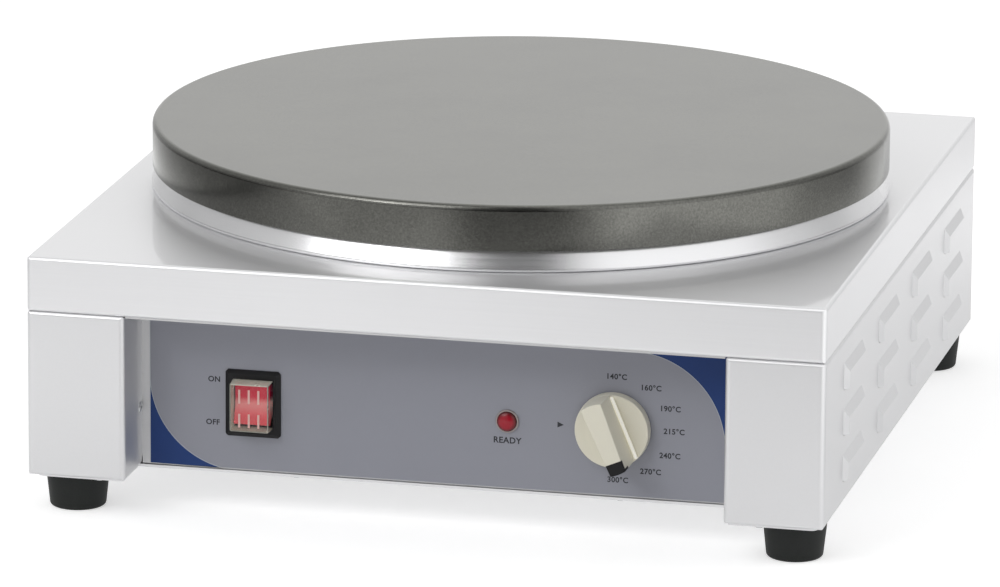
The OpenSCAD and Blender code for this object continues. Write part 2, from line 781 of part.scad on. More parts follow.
module rear_panel() {
    color("gainsboro") difference() {
        translate([0, rear_y, 0]) rotate([90, 0, 0]) linear_extrude(sheet_t)
            round_rect([-side_x + rear_edge, body_z + 1], [side_x - rear_edge, cover_z - 1], 3);
        at_rear_screws() translate([0, 0, -sheet_t - past]) cylinder(r = m3_r + fit_gap, h = sheet_t + 2 * past);
        facing_rear(gland_x, panel_rear_y - past, body_z + gland_z)
            cylinder(r = gland_thread_r + fit_gap, h = sheet_t + 2 * past);
    }
}

module rear_screws() {
    color("silver") at_rear_screws() screw(m3_r, 3.2, 2, sheet_t + base_t + 6);
}

vent_len = 70;
vent_w = 5;
vent_pitch = 16;
vent_x = 85;

module base_plate() {
    lo = [-side_x + base_inset, front_y + base_inset];
    hi = [side_x - base_inset, panel_rear_y];
    notch_x = post_in_x + 2;
    color([0.8, 0.8, 0.8]) difference() {
        union() {
            translate([0, 0, foot_h]) linear_extrude(base_t) difference() {
                round_rect(lo, hi, 4);
                translate([-notch_x, lo.y - past]) square([2 * notch_x, panel_y - lo.y + past - overlay_t]);
                for (x = [-vent_x, vent_x], i = [-3:3]) translate([x - vent_len / 2, i * vent_pitch]) {
                    translate([vent_w / 2, -vent_w / 2]) square([vent_len - vent_w, vent_w]);
                    for (e = [vent_w / 2, vent_len - vent_w / 2]) translate([e, 0]) circle(vent_w / 2);
                }
            }
            block([-base_flange_x, panel_rear_y - base_t, foot_h],
                [base_flange_x, panel_rear_y, body_z + base_flange_h]);
        }
        for (p = concat(base_screw_places, panel_screw_places)) translate([p.x, p.y, foot_h - past])
            cylinder(r = m4_r + fit_gap, h = base_t + 2 * past);
        for (p = foot_places) translate([p.x, p.y, foot_h - past])
            cylinder(r = m5_r + fit_gap, h = base_t + 2 * past);
        for (x = rear_flange_screw_x) facing_rear(x, panel_rear_y - base_t - past, rear_flange_screw_z)
            cylinder(r = m3_r + fit_gap, h = base_t + 2 * past);
        translate([earth_x, earth_y, foot_h - past]) cylinder(r = m5_r + fit_gap, h = base_t + 2 * past);
        at_block_ears() translate([0, 0, -base_t - past]) cylinder(r = m4_r + fit_gap, h = base_t + 2 * past);
    }
}

module base_screws() {
    color("silver") for (p = base_screw_places) translate([p.x, p.y, foot_h]) rotate([180, 0, 0])
        screw(m4_r, 3.9, 2.4, base_t + sheet_t + 5);
}

// ---- Control panel ----

panel_flange = 16;
panel_end_x = post_in_x - loose_gap;
tab_x = post_in_x + sheet_t;
tab_len = 12;
cutout_w = bezel_w - 3;
cutout_h = bezel_h - 4;
lamp_barrel_r = lamp_d / 2 - 1.5;
bushing_r = 5;
thermostat_screw_dx = 14;
thermostat_tab_dx = 10;

module at_thermostat_screws() {
    for (s = [-1, 1]) facing_front(knob_x + s * thermostat_screw_dx, panel_y, body_z + control_z) children();
}

// Openings for the controls, cut backwards from the face of the overlay
module control_openings(gap, screw_r) {
    depth = overlay_t + sheet_t + 2 * past;
    start = face_y - past;
    block([switch_x - cutout_w / 2 - gap, start, body_z + control_z - cutout_h / 2 - gap],
        [switch_x + cutout_w / 2 + gap, start + depth, body_z + control_z + cutout_h / 2 + gap]);
    facing_rear(lamp_x, start, body_z + control_z) cylinder(r = lamp_barrel_r + gap, h = depth);
    facing_rear(knob_x, start, body_z + control_z) cylinder(r = bushing_r + gap, h = depth);
    for (s = [-1, 1]) facing_rear(knob_x + s * thermostat_screw_dx, start, body_z + control_z)
        cylinder(r = screw_r, h = depth);
}

module control_panel() {
    side_view = rounded_path([
        [front_y + fold_r, cover_z - sheet_t], [panel_y, cover_z - sheet_t],
        [panel_y, body_z], [panel_back + panel_flange, body_z]
    ], [fold_r, panel_foot_r]);
    color("gainsboro") difference() {
        union() {
            translate([-panel_end_x, 0, 0]) rotate([90, 0, 90])
                linear_extrude(2 * panel_end_x) polygon(sheet_outline(side_view, sheet_t));
            for (s = [-1, 1]) mirror([s < 0 ? 1 : 0, 0, 0]) {
                block([panel_end_x - past, panel_y, body_z + 4], [tab_x + sheet_t, panel_back, cover_z - 5]);
                block([tab_x, panel_y - tab_len, body_z + 4], [tab_x + sheet_t, panel_back, cover_z - 5]);
            }
        }
        control_openings(fit_gap, m3_r + fit_gap);
        for (p = panel_screw_places) translate([p.x, p.y, body_z - past])
            cylinder(r = m4_r + fit_gap, h = sheet_t + 2 * past);
        for (s = [-1, 1]) translate([s * post_in_x, rivet_y, rivet_z]) rotate([0, s * 90, 0])
            cylinder(r = rivet_r + fit_gap, h = 2 * sheet_t + past);
    }
}

// Printed plastic sheet bonded to the control panel
module panel_overlay() {
    color([0.5, 0.5, 0.53]) difference() {
        block([-overlay_half_w, face_y, body_z + panel_foot_r],
            [overlay_half_w, panel_y, cover_z - overlay_top_gap]);
        control_openings(fit_gap, m3_r * 2 + 0.6);
    }
}

module panel_screws() {
    color("silver") for (p = panel_screw_places) translate([p.x, p.y, foot_h]) rotate([180, 0, 0])
        screw(m4_r, 3.9, 2.6, base_t + sheet_t + 5);
}

module panel_rivets() {
    color("silver") for (s = [-1, 1]) translate([s * post_in_x, rivet_y, rivet_z]) rotate([0, -s * 90, 0])
        difference() {
            union() {
                rotate_extrude() polygon([[0, 0], [3, 0], [2.9, 0.4], [2.2, 0.8], [0, 0.8]]);
                translate([0, 0, -2 * sheet_t - 3]) cylinder(r = rivet_r, h = 2 * sheet_t + 3.4);
                translate([0, 0, -2 * sheet_t - 3]) cylinder(r = rivet_r + 0.8, h = 3);
            }
            translate([0, 0, -1]) cylinder(r = 1, h = 3);
        }
}

// ---- Switch ----

bezel_t = 2.2;
bezel_edge_t = 0.6;
switch_depth = 26;
well_depth = 12;
clear_wall = 0.8;
well_w = clear_w - 2 * clear_wall - 0.4;
well_h = clear_h - 2 * clear_wall;
pivot_depth = 2;
pivot_r = 1.6;
pivot_end = well_w / 2 + 1.6;
rocker_w = well_w - 1.8;
rocker_half_h = well_h / 2 - 1.3;

// Cross section of the bezel, with its sloped bands
module bezel_section(half) {
    polygon([
        [-half, 0], [half, 0], [half, bezel_edge_t], [half - bezel_slope_w, bezel_t],
        [bezel_slope_w - half, bezel_t], [-half, bezel_edge_t]
    ]);
}

// Bezel with a sloped band all round and cut corners
module bezel_form() {
    x = bezel_w / 2;
    y = bezel_h / 2;
    c = bezel_corner;
    intersection() {
        linear_extrude(bezel_t) polygon([
            [-x + c, -y], [x - c, -y], [x, -y + c], [x, y - c],
            [x - c, y], [-x + c, y], [-x, y - c], [-x, -y + c]
        ]);
        translate([0, y, 0]) rotate([90, 0, 0]) linear_extrude(2 * y) bezel_section(x);
        translate([-x, 0, 0]) rotate([90, 0, 90]) linear_extrude(2 * x) bezel_section(y);
    }
}

module switch_housing() {
    z = body_z + control_z;
    color([0.11, 0.11, 0.12]) difference() {
        union() {
            facing_front(switch_x, face_y, z) bezel_form();
            block([switch_x - cutout_w / 2, face_y - bezel_edge_t, z - cutout_h / 2],
                [switch_x + cutout_w / 2, face_y + switch_depth, z + cutout_h / 2]);
        }
        block([switch_x - clear_w / 2 - fit_gap, face_y - bezel_t - past, z - clear_h / 2 - fit_gap],
            [switch_x + clear_w / 2 + fit_gap, face_y, z + clear_h / 2 + fit_gap]);
        block([switch_x - well_w / 2, face_y - past, z - well_h / 2],
            [switch_x + well_w / 2, face_y + well_depth, z + well_h / 2]);
        translate([switch_x, face_y + pivot_depth, z]) rotate([0, 90, 0])
            cylinder(r = pivot_r + fit_gap, h = 2 * pivot_end + 0.4, center = true);
    }
}

switch_tab_dx = 7;
switch_tab_dz = 8;

module at_switch_tabs() {
    for (x = [-switch_tab_dx, switch_tab_dx], z = [-switch_tab_dz, switch_tab_dz])
        translate([switch_x + x, face_y + switch_depth, body_z + control_z + z]) children();
}

module switch_terminals() {
    color([0.85, 0.7, 0.35]) at_switch_tabs() block([-0.4, 0, -3.15], [0.4, 8, 3.15]);
}

module switch_rocker() {
    color([0.8, 0.1, 0.12]) translate([switch_x, face_y + pivot_depth, body_z + control_z])
        rotate([-rocker_tilt, 0, 0]) {
            translate([-rocker_w / 2, 0, 0]) rotate([90, 0, 90]) linear_extrude(rocker_w) polygon(concat(
                arc([-5.6, -rocker_half_h + 0.9], 0.8, -90, -170, 4),
                [[-4.4, 0]],
                arc([-5.6, rocker_half_h - 0.9], 0.8, 170, 90, 4),
                [[-2.5, rocker_half_h + 0.2], [3, 4.5], [3, -4.5], [-2.5, -rocker_half_h - 0.2]]
            ));
            rotate([0, 90, 0]) cylinder(r = pivot_r, h = 2 * pivot_end, center = true);
        }
}

// Clear splash cover over the rocker
module switch_cover() {
    z = body_z + control_z;
    lo = [switch_x - clear_w / 2, face_y - clear_reach, z - clear_h / 2];
    hi = [switch_x + clear_w / 2, face_y, z + clear_h / 2];
    wall = [clear_wall, clear_wall, clear_wall];
    color([0.9, 0.9, 0.9, 0.35]) difference() {
        intersection() {
            facing_front(switch_x, face_y, z) linear_extrude(clear_reach) round_rect(
                [-clear_w / 2, -clear_h / 2], [clear_w / 2, clear_h / 2], 1.2);
            translate([lo.x, 0, 0]) rotate([90, 0, 90]) linear_extrude(clear_w)
                round_rect([lo.y, lo.z], [hi.y + 3, hi.z], 1);
        }
        block(lo + wall, [hi.x - clear_wall, hi.y + past, hi.z - clear_wall]);
    }
}

// ---- Pilot lamp ----

lens_r = lamp_d / 2 - 0.8;
lamp_depth = 20;

module lamp_bezel() {
    color("silver") facing_front(lamp_x, face_y, body_z + control_z) difference() {
        rotate_extrude() polygon([
            [0, -lamp_depth], [lamp_barrel_r, -lamp_depth], [lamp_barrel_r, 0], [lamp_d / 2, 0],
            [lamp_d / 2, 0.8], [lamp_d / 2 - 0.3, 1.1], [0, 1.1]
        ]);
        translate([0, 0, 0.5]) cylinder(r = lens_r + fit_gap, h = 3);
        translate([0, 0, -lamp_depth + 3]) cylinder(r = lamp_barrel_r - 1, h = lamp_depth);
    }
}

module lamp_lens() {
    dome_h = 3.6;
    color([0.75, 0.05, 0.07]) facing_front(lamp_x, face_y, body_z + control_z) rotate_extrude() polygon(concat(
        [[0, 0.5], [lens_r, 0.5]],
        [for (i = [0:9]) [lens_r * cos(i * 10), 1.2 + (dome_h - 1.2) * sin(i * 10)]]
    ));
}

// ---- Thermostat and knob ----

thermostat_w = 44;
thermostat_h = 36;
thermostat_d = 24;
shaft_back = 14;
flat_depth = 1.2;
hub_top = knob_h - 4;
shaft_top = hub_top - 1;
knob_gap = 0.8;
hollow_r = knob_d / 2 - 1.6;
grip_r = knob_d / 2 - 0.4;
plinth_r = grip_r - 0.2;
hollow_h = knob_disc_h - 3;
hub_out_r = shaft_d / 2 + 3.2;
pointer_len = 6.4;
pointer_h = 7;
pointer_t = 1.6;
plinth_w = grip_w + 6;
plinth_rise = 1.2;
knob_edge_r = 0.6;

module thermostat_body() {
    z = body_z + control_z;
    color([0.82, 0.8, 0.74]) difference() {
        union() {
            block([knob_x - thermostat_w / 2, panel_back, z - thermostat_h / 2],
                [knob_x + thermostat_w / 2, panel_back + thermostat_d, z + thermostat_h / 2]);
            facing_front(knob_x, panel_back + past, z) cylinder(r = bushing_r, h = sheet_t + overlay_t + past);
        }
        facing_rear(knob_x, face_y - past, z)
            cylinder(r = shaft_d / 2 + fit_gap, h = past + overlay_t + sheet_t + shaft_back + loose_gap);
        for (s = [-1, 1]) facing_rear(knob_x + s * thermostat_screw_dx, panel_back - past, z)
            cylinder(r = m3_r + fit_gap, h = 9 + past);
    }
}

module thermostat_terminals() {
    color([0.85, 0.7, 0.35]) for (x = [-thermostat_tab_dx, 0, thermostat_tab_dx])
        translate([knob_x + x, panel_back + thermostat_d, body_z + control_z])
            block([-0.4, 0, -3.15], [0.4, 8, 3.15]);
}

module thermostat_screws() {
    color("silver") at_thermostat_screws() screw(m3_r, 2.8, 1.6, sheet_t + 7);
}

// Shaft section with a flat, as the knob's bore has it
module shaft_section(gap) {
    intersection() {
        circle(shaft_d / 2 + gap);
        translate([-shaft_d, -shaft_d - flat_depth]) square([2 * shaft_d, 1.5 * shaft_d + gap]);
    }
}

module at_knob() {
    facing_front(knob_x, face_y, body_z + control_z) rotate([0, 0, -knob_angle]) children();
}

module thermostat_shaft() {
    round_top = 3;
    color("silver") at_knob() {
        translate([0, 0, -overlay_t - sheet_t - shaft_back])
            cylinder(r = shaft_d / 2, h = shaft_back + sheet_t + overlay_t + round_top);
        translate([0, 0, round_top]) linear_extrude(shaft_top - round_top) shaft_section(0);
    }
}

// One side of the grip bar, its wall drafted and its top edge rounded
module grip_side(proud) {
    top = knob_h + proud;
    half = grip_w / 2 + proud;
    rotate([0, 0, grip_taper]) translate([0, knob_d, 0]) rotate([90, 0, 0]) linear_extrude(2 * knob_d)
        polygon(concat(
            [[-knob_d, 0], [half + top * tan(grip_draft), 0]],
            arc([half - knob_edge_r, top - knob_edge_r], knob_edge_r, grip_draft, 90, 4),
            [[-knob_d, top]]
        ));
}

// Grip bar, narrower at the pointer's end and rounded to the disc at both ends
module grip_bar(proud) {
    intersection() {
        translate([0, 0, knob_gap + 2]) cylinder(r = grip_r + proud, h = knob_h);
        grip_side(proud);
        mirror([1, 0, 0]) grip_side(proud);
    }
}

// Form of the mark that caps the end of the grip bar, standing proud of the bar
module pointer_form(proud) {
    difference() {
        intersection() {
            grip_bar(proud);
            block([-grip_w, grip_r - pointer_len, knob_h - pointer_h], [grip_w, knob_d, knob_h + 1]);
        }
        block([-grip_w, 0, 0], [grip_w, grip_r - pointer_t, knob_h - pointer_t]);
    }
}

module control_knob() {
    r = knob_d / 2;
    disc = concat(
        [[0, knob_gap], [r - 0.1, knob_gap], [r, knob_gap + 1]],
        arc([r - knob_edge_r - 0.2, knob_disc_h - knob_edge_r], knob_edge_r, 0, 90, 4),
        [[r * 0.72, knob_disc_h - 0.6], [0, knob_disc_h - 1.4]]
    );
    color([0.82, 0.8, 0.74]) at_knob() difference() {
        union() {
            rotate_extrude() polygon(disc);
            intersection() {
                cylinder(r = plinth_r, h = knob_h);
                translate([0, r, 0]) rotate([90, 0, 0]) linear_extrude(2 * r) round_rect(
                    [-plinth_w / 2, knob_gap + 2], [plinth_w / 2, knob_disc_h + plinth_rise], knob_edge_r);
            }
            grip_bar(0);
        }
        difference() {
            translate([0, 0, -past]) cylinder(r = hollow_r, h = hollow_h + past);
            translate([0, 0, -past]) cylinder(r = hub_out_r, h = hollow_h + past);
        }
        translate([0, 0, -past]) cylinder(r = shaft_d / 2 + fit_gap, h = 3 + past + fit_gap);
        linear_extrude(hub_top) shaft_section(fit_gap);
        pointer_form(past);
    }
}

module knob_pointer() {
    color([0.08, 0.08, 0.08]) at_knob() pointer_form(0.1);
}

// ---- Mains entry ----

gland_flange_t = 4.5;
gland_thread_r = 10;
gland_thread_len = 12;
gland_spigot_r = 8;
gland_spigot_len = gland_reach - 2;
gland_nut_t = 4.5;
gland_hex_r = 14;

module cable_gland() {
    color([0.16, 0.16, 0.16]) facing_rear(gland_x, rear_y, body_z + gland_z) difference() {
        union() {
            hex(gland_hex_r, gland_flange_t);
            translate([0, 0, -gland_thread_len]) cylinder(r = gland_thread_r, h = gland_thread_len + past);
            cylinder(r = gland_spigot_r, h = gland_spigot_len);
        }
        translate([0, 0, -gland_thread_len - past])
            cylinder(r = gland_bore_d / 2, h = gland_thread_len + gland_reach + 2 * past);
    }
}

module gland_cap() {
    color([0.16, 0.16, 0.16]) facing_rear(gland_x, rear_y, body_z + gland_z) difference() {
        union() {
            translate([0, 0, gland_flange_t + 0.2]) hex(gland_hex_r - 1, 5);
            translate([0, 0, gland_flange_t + 0.2]) rotate_extrude() polygon([
                [0, 0], [gland_hex_r - 2.5, 0], [gland_hex_r - 2.5, 5.2],
                [gland_spigot_r, gland_reach - gland_flange_t - 0.2], [0, gland_reach - gland_flange_t - 0.2]
            ]);
        }
        translate([0, 0, gland_flange_t - past])
            cylinder(r = gland_spigot_r + fit_gap, h = gland_spigot_len - gland_flange_t + past + fit_gap);
        cylinder(r = gland_bore_d / 2, h = gland_reach + past);
    }
}

module gland_nut() {
    color([0.16, 0.16, 0.16]) facing_rear(gland_x, panel_rear_y - gland_nut_t, body_z + gland_z)
        nut(gland_thread_r + fit_gap, gland_hex_r, gland_nut_t);
}

block_x = gland_x + 10;
block_y = rear_y - 59;
block_pitch = 12;
block_len = 24;
block_h = 18;
block_ear = 10;
block_ways = [for (i = [-1.5:1:1.5]) block_x + i * block_pitch];
block_ends = [block_ways[0] - block_pitch / 2, block_ways[3] + block_pitch / 2];
way_z = body_z + 6;
way_depth = 5;
wire_r = 1.4;
wire_bend = wire_r + 1.6;
lead_z = cover_z - 16;
lead_out = 9;

// Four-way terminal block screwed to the base plate
module terminal_block() {
    color([0.92, 0.92, 0.9]) difference() {
        union() {
            block([block_ends[0], block_y, body_z], [block_ends[1], block_y + block_len, body_z + 12]);
            for (x = block_ways) block([x - block_pitch / 2 + 1, block_y + 3, body_z],
                [x + block_pitch / 2 - 1, block_y + block_len - 3, body_z + block_h]);
            block([block_ends[0] - block_ear, block_y + 6, body_z],
                [block_ends[1] + block_ear, block_y + block_len - 6, body_z + 4]);
        }
        for (x = block_ways) {
            facing_rear(x, block_y - past, way_z) cylinder(r = wire_r + 0.2, h = way_depth + past);
            translate([x, block_y + block_len / 2, body_z + block_h - 3]) cylinder(r = 3.4, h = 3 + past);
            translate([x, block_y + block_len / 2, body_z + 8]) cylinder(r = m3_r + fit_gap, h = block_h);
        }
        at_block_ears() translate([0, 0, -past]) cylinder(r = m4_r + fit_gap, h = 4 + 2 * past);
    }
}

module at_block_ears() {
    for (x = [block_ends[0] - block_ear / 2, block_ends[1] + block_ear / 2])
        translate([x, block_y + block_len / 2, body_z]) children();
}

module terminal_screws() {
    color("silver") for (x = block_ways)
        translate([x, block_y + block_len / 2, body_z + block_h - 3]) screw(m3_r, 2.8, 1.6, 6);
}

module block_screws() {
    color("silver") at_block_ears() translate([0, 0, 4]) screw(m4_r, 3.8, 2.4, 4 + base_t);
}

earth_offset = 24;
earth_x = block_ways[3] + earth_offset;
earth_y = block_y - earth_offset;
lug_t = 1;

module earth_screw() {
    color([0.85, 0.7, 0.35]) translate([earth_x, earth_y, body_z + lug_t]) screw(m5_r, 4.4, 2.8, lug_t + base_t);
}

// ---- Leads ----

tab_len_out = 8;
tab_w = 6.3;
tab_t = 0.8;
sleeve_over = 6.5;
sleeve_past = 3;
switch_tab_y = face_y + switch_depth + tab_len_out;
thermostat_tab_y = panel_back + thermostat_d + tab_len_out;
mid_z = body_z + control_z;

// Flat push-on sleeve round the end of a tab that points backwards
module sleeve(x, y, z) {
    translate([x, y, z]) difference() {
        block([-tab_t - 0.7, -sleeve_over, -tab_w / 2 - 0.7], [tab_t + 0.7, sleeve_past, tab_w / 2 + 0.7]);
        block([-tab_t / 2 - fit_gap, -sleeve_over - past, -tab_w / 2 - fit_gap],
            [tab_t / 2 + fit_gap, fit_gap, tab_w / 2 + fit_gap]);
    }
}

// Round sleeve on a pin of the heating element
module pin_sleeve(p) {
    translate([p.x, p.y, pin_z - 5]) difference() {
        cylinder(r = pin_r + 1.2, h = 9.5);
        translate([0, 0, 5]) cylinder(r = pin_r + fit_gap, h = 6);
    }
}

module supply_leads() {
    y = switch_tab_y;
    color([0.5, 0.25, 0.15]) {
        sleeve(switch_x - switch_tab_dx, y, mid_z + switch_tab_dz);
        pipe([
            [switch_x - switch_tab_dx, y + 2, mid_z + switch_tab_dz],
            [switch_x - switch_tab_dx, y + 6, mid_z + switch_tab_dz],
            [switch_x - 20, y + 12, mid_z + switch_tab_dz],
            [switch_x - 20, y + 12, way_z],
            [block_ways[0], y + 68, way_z],
            [block_ways[0], block_y + way_depth - 0.5, way_z]
        ], wire_r, wire_bend);
    }
    color([0.15, 0.3, 0.65]) {
        sleeve(switch_x + switch_tab_dx, y, mid_z + switch_tab_dz);
        pipe([
            [switch_x + switch_tab_dx, y + 2, mid_z + switch_tab_dz],
            [switch_x + switch_tab_dx, y + 18, mid_z + switch_tab_dz],
            [switch_x + switch_tab_dx, y + 18, way_z],
            [block_ways[1], y + 88, way_z],
            [block_ways[1], block_y + way_depth - 0.5, way_z]
        ], wire_r, wire_bend);
    }
}

module earth_lead() {
    z = body_z + wire_r + 0.1;
    color([0.35, 0.6, 0.2]) {
        pipe([
            [block_ways[2], block_y + way_depth - 0.5, way_z],
            [block_ways[2], block_y - 8, way_z],
            [block_ways[2], block_y - 8 - way_z + z, z],
            [earth_x - 14, earth_y, z],
            [earth_x - 6, earth_y, z]
        ], wire_r, wire_r + 0.2);
        difference() {
            union() {
                translate([earth_x, earth_y, body_z]) cylinder(r = 5, h = lug_t);
                block([earth_x - 9, earth_y - 1.8, body_z], [earth_x, earth_y + 1.8, body_z + lug_t]);
            }
            translate([earth_x, earth_y, body_z - past]) cylinder(r = m5_r + fit_gap, h = lug_t + 2 * past);
        }
    }
}

module element_leads() {
    color([0.85, 0.85, 0.82]) {
        sleeve(switch_x - switch_tab_dx, switch_tab_y, mid_z - switch_tab_dz);
        pipe([
            [switch_x - switch_tab_dx, switch_tab_y + 2, mid_z - switch_tab_dz],
            [switch_x - switch_tab_dx, switch_tab_y + 38, mid_z - switch_tab_dz],
            [inner_leg.x, -40, cover_z - 30],
            [inner_leg.x, inner_leg.y, cover_z - 10],
            [inner_leg.x, inner_leg.y, pin_z - 4]
        ], wire_r, wire_bend + 1);
        pin_sleeve(inner_leg);
        sleeve(knob_x + thermostat_tab_dx, thermostat_tab_y, mid_z);
        pipe([
            [knob_x + thermostat_tab_dx, thermostat_tab_y + 2, mid_z],
            [knob_x + thermostat_tab_dx, thermostat_tab_y + 19, mid_z],
            [knob_x + thermostat_tab_dx, thermostat_tab_y + 19, lead_z],
            [outer_leg.x, outer_leg.y - 28, lead_z],
            [outer_leg.x, outer_leg.y, lead_z],
            [outer_leg.x, outer_leg.y, pin_z - 4]
        ], wire_r, wire_bend + 1);
        pin_sleeve(outer_leg);
    }
}

module switch_lead() {
    color([0.1, 0.1, 0.1]) {
        sleeve(switch_x + switch_tab_dx, switch_tab_y, mid_z - switch_tab_dz);
        pipe([
            [switch_x + switch_tab_dx, switch_tab_y + 2, mid_z - switch_tab_dz],
            [switch_x + switch_tab_dx, switch_tab_y + lead_out, mid_z - switch_tab_dz],
            [knob_x - thermostat_tab_dx, thermostat_tab_y + lead_out, mid_z],
            [knob_x - thermostat_tab_dx, thermostat_tab_y + 2, mid_z]
        ], wire_r, wire_bend);
        sleeve(knob_x - thermostat_tab_dx, thermostat_tab_y, mid_z);
    }
}

module lamp_leads() {
    start = face_y + lamp_depth;
    thin = 1;
    color([0.3, 0.3, 0.32]) {
        pipe([
            [lamp_x + 2.5, start, mid_z],
            [lamp_x + 2.5, start + 10, mid_z],
            [knob_x - 25, start + 25, mid_z + 13],
            [knob_x, start + 25, mid_z + 13],
            [knob_x, start + 25, mid_z],
            [knob_x, thermostat_tab_y + 2, mid_z]
        ], thin, thin + 2);
        sleeve(knob_x, thermostat_tab_y, mid_z);
        pipe([
            [lamp_x - 2.5, start, mid_z],
            [lamp_x - 2.5, start + 12, mid_z],
            [lamp_x - 2.5, start + 12, body_z + 14],
            [block_ways[3], start + 112, body_z + 14],
            [block_ways[3], block_y - 14, body_z + 14],
            [block_ways[3], block_y - 14, way_z],
            [block_ways[3], block_y + way_depth - 0.5, way_z]
        ], thin, thin + 2);
    }
}

// ---- Feet ----

foot_recess_r = 6.5;
foot_recess_h = foot_h / 2;

module foot(place) {
    low = foot_bottom_d / 2;
    high = foot_top_d / 2;
    edge = 2;
    lean = atan2(high - low, foot_h);
    color([0.17, 0.17, 0.17]) translate([place.x, place.y, 0]) difference() {
        rotate_extrude() polygon(concat(
            [[0, 0]],
            arc([low - edge, edge], edge, -90, -lean),
            [[high, foot_h], [0, foot_h]]
        ));
        translate([0, 0, -past]) cylinder(r = foot_recess_r, h = foot_recess_h + past);
        cylinder(r = m5_r + fit_gap, h = foot_h + past);
    }
}

module front_left_foot() {
    foot(foot_places[0]);
}

module front_right_foot() {
    foot(foot_places[1]);
}

module rear_left_foot() {
    foot(foot_places[2]);
}

module rear_right_foot() {
    foot(foot_places[3]);
}

module foot_screws() {
    color("silver") for (p = foot_places) translate([p.x, p.y, foot_recess_h]) rotate([180, 0, 0])
        screw(m5_r, 4.6, 3, body_z + sheet_t + 6 - foot_recess_h);
}

module foot_nuts() {
    color("silver") for (p = foot_places)
        translate([p.x, p.y, body_z + (p.y < 0 ? sheet_t : 0)]) nut(m5_r + fit_gap, 4.6, 4);
}

top_cover();
collar_ring();
collar_screws();
hot_plate();
plate_studs();
stud_nuts();
heating_element();
element_clamp_plate();
insulation_pad();
insulation_pan();
sensor_bulb();
bulb_clip();
bulb_clip_screw();
capillary_tube();
front_rail();
rear_rail();
frame_screws();
frame_nuts();
left_side_panel();
right_side_panel();
rear_panel();
rear_screws();
base_plate();
base_screws();
control_panel();
panel_overlay();
panel_screws();
panel_rivets();
switch_housing();
switch_terminals();
switch_rocker();
switch_cover();
lamp_bezel();
lamp_lens();
thermostat_body();
thermostat_terminals();
thermostat_screws();
thermostat_shaft();
control_knob();
knob_pointer();
cable_gland();
gland_cap();
gland_nut();
terminal_block();
terminal_screws();
block_screws();
earth_screw();
supply_leads();
earth_lead();
element_leads();
switch_lead();
lamp_leads();
front_left_foot();
front_right_foot();
rear_left_foot();
rear_right_foot();
foot_screws();
foot_nuts();
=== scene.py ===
"""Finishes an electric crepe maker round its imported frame: print, fine pieces, materials and a stage."""
import math

import bmesh
import bpy
from mathutils import Matrix, Vector


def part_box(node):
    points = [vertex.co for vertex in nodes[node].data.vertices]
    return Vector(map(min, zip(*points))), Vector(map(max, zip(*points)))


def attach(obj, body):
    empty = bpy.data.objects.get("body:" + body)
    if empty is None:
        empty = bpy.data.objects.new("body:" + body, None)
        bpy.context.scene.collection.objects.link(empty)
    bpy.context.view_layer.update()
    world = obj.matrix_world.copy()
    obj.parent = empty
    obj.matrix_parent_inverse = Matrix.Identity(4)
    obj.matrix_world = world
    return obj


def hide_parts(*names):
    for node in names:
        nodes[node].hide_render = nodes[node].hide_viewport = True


bl_info = {
    "name": "Electric Crepe Maker",
    "version": (1, 0, 0),
    "blender": (4, 5, 0),
    "location": "View3D > Sidebar > Crepe Maker",
    "description": "Finishes a crepe maker's packed frame with prints, fine pieces, materials and a stage",
    "category": "Object",
}

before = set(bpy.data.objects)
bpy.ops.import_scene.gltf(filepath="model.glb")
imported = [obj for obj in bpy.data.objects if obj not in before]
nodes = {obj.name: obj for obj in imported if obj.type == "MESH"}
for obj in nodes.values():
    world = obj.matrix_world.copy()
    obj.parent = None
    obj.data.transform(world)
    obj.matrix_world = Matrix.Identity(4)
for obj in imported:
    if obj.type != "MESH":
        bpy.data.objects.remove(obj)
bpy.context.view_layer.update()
MM = 0.001


# ---- Places taken from the frame ----

def middle(name):
    """Centre of a node's box."""
    low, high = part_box(name)
    return (low + high) / 2


OVERLAY_LOW, OVERLAY_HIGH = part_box("panel_overlay")
FACE_Y = OVERLAY_LOW.y
SWITCH = middle("switch_housing")
LAMP = middle("lamp_bezel")
KNOB = middle("control_knob")
KNOB_ANGLE = 157.0  # degrees clockwise from the top to the pointer, at rest

# ---- Fixed details of the print and the small pieces ----

# Corner arcs: the lower one's centre over the overlay's foot, and the upper one's centre in from the
# overlay's right end and below its top
LOWER_ARC_HEIGHT = 48.0 * MM
UPPER_ARC_INSET = 51.1 * MM
UPPER_ARC_DROP = 53.6 * MM
LOWER_SWEEP = (183, 258)  # degrees
UPPER_SWEEP = (12, 80)
ARC_STEPS = 32
# How far the light lines stand out, over the rise of the rest of the print
LINE_LAYER, EDGE_LAYER = 1.1, 1.2
# Words and marks: name, text, the control that they belong to, x and z from its centre in millimetres,
# and their height over the dial's numbers
PRINTED = (
    ("word_on", "ON", SWITCH, -21.3, 11.8, 1.0),
    ("word_off", "OFF", SWITCH, -22.1, -11.7, 1.0),
    ("word_ready", "READY", LAMP, 0.0, -10.6, 1.12),
    ("mark_140", "140°C", KNOB, 1.1, 27.9, 1.0),
    ("mark_160", "160°C", KNOB, 19.5, 23.0, 1.0),
    ("mark_190", "190°C", KNOB, 29.9, 12.4, 1.0),
    ("mark_215", "215°C", KNOB, 32.1, 0.2, 1.0),
    ("mark_240", "240°C", KNOB, 30.0, -13.0, 1.0),
    ("mark_270", "270°C", KNOB, 19.8, -22.3, 1.0),
    ("mark_300", "300°C", KNOB, 2.3, -27.9, 1.0),
)
FONT_SIZE = 1.37  # text size of the built-in font over the height of its capitals
LETTER_WEIGHT = 0.034  # how much strokes are thickened, over the height of the capitals
LETTER_SPACING = 1.07
ARROW_OFFSET = 28.5 * MM  # from the knob's axis to the arrow at its left
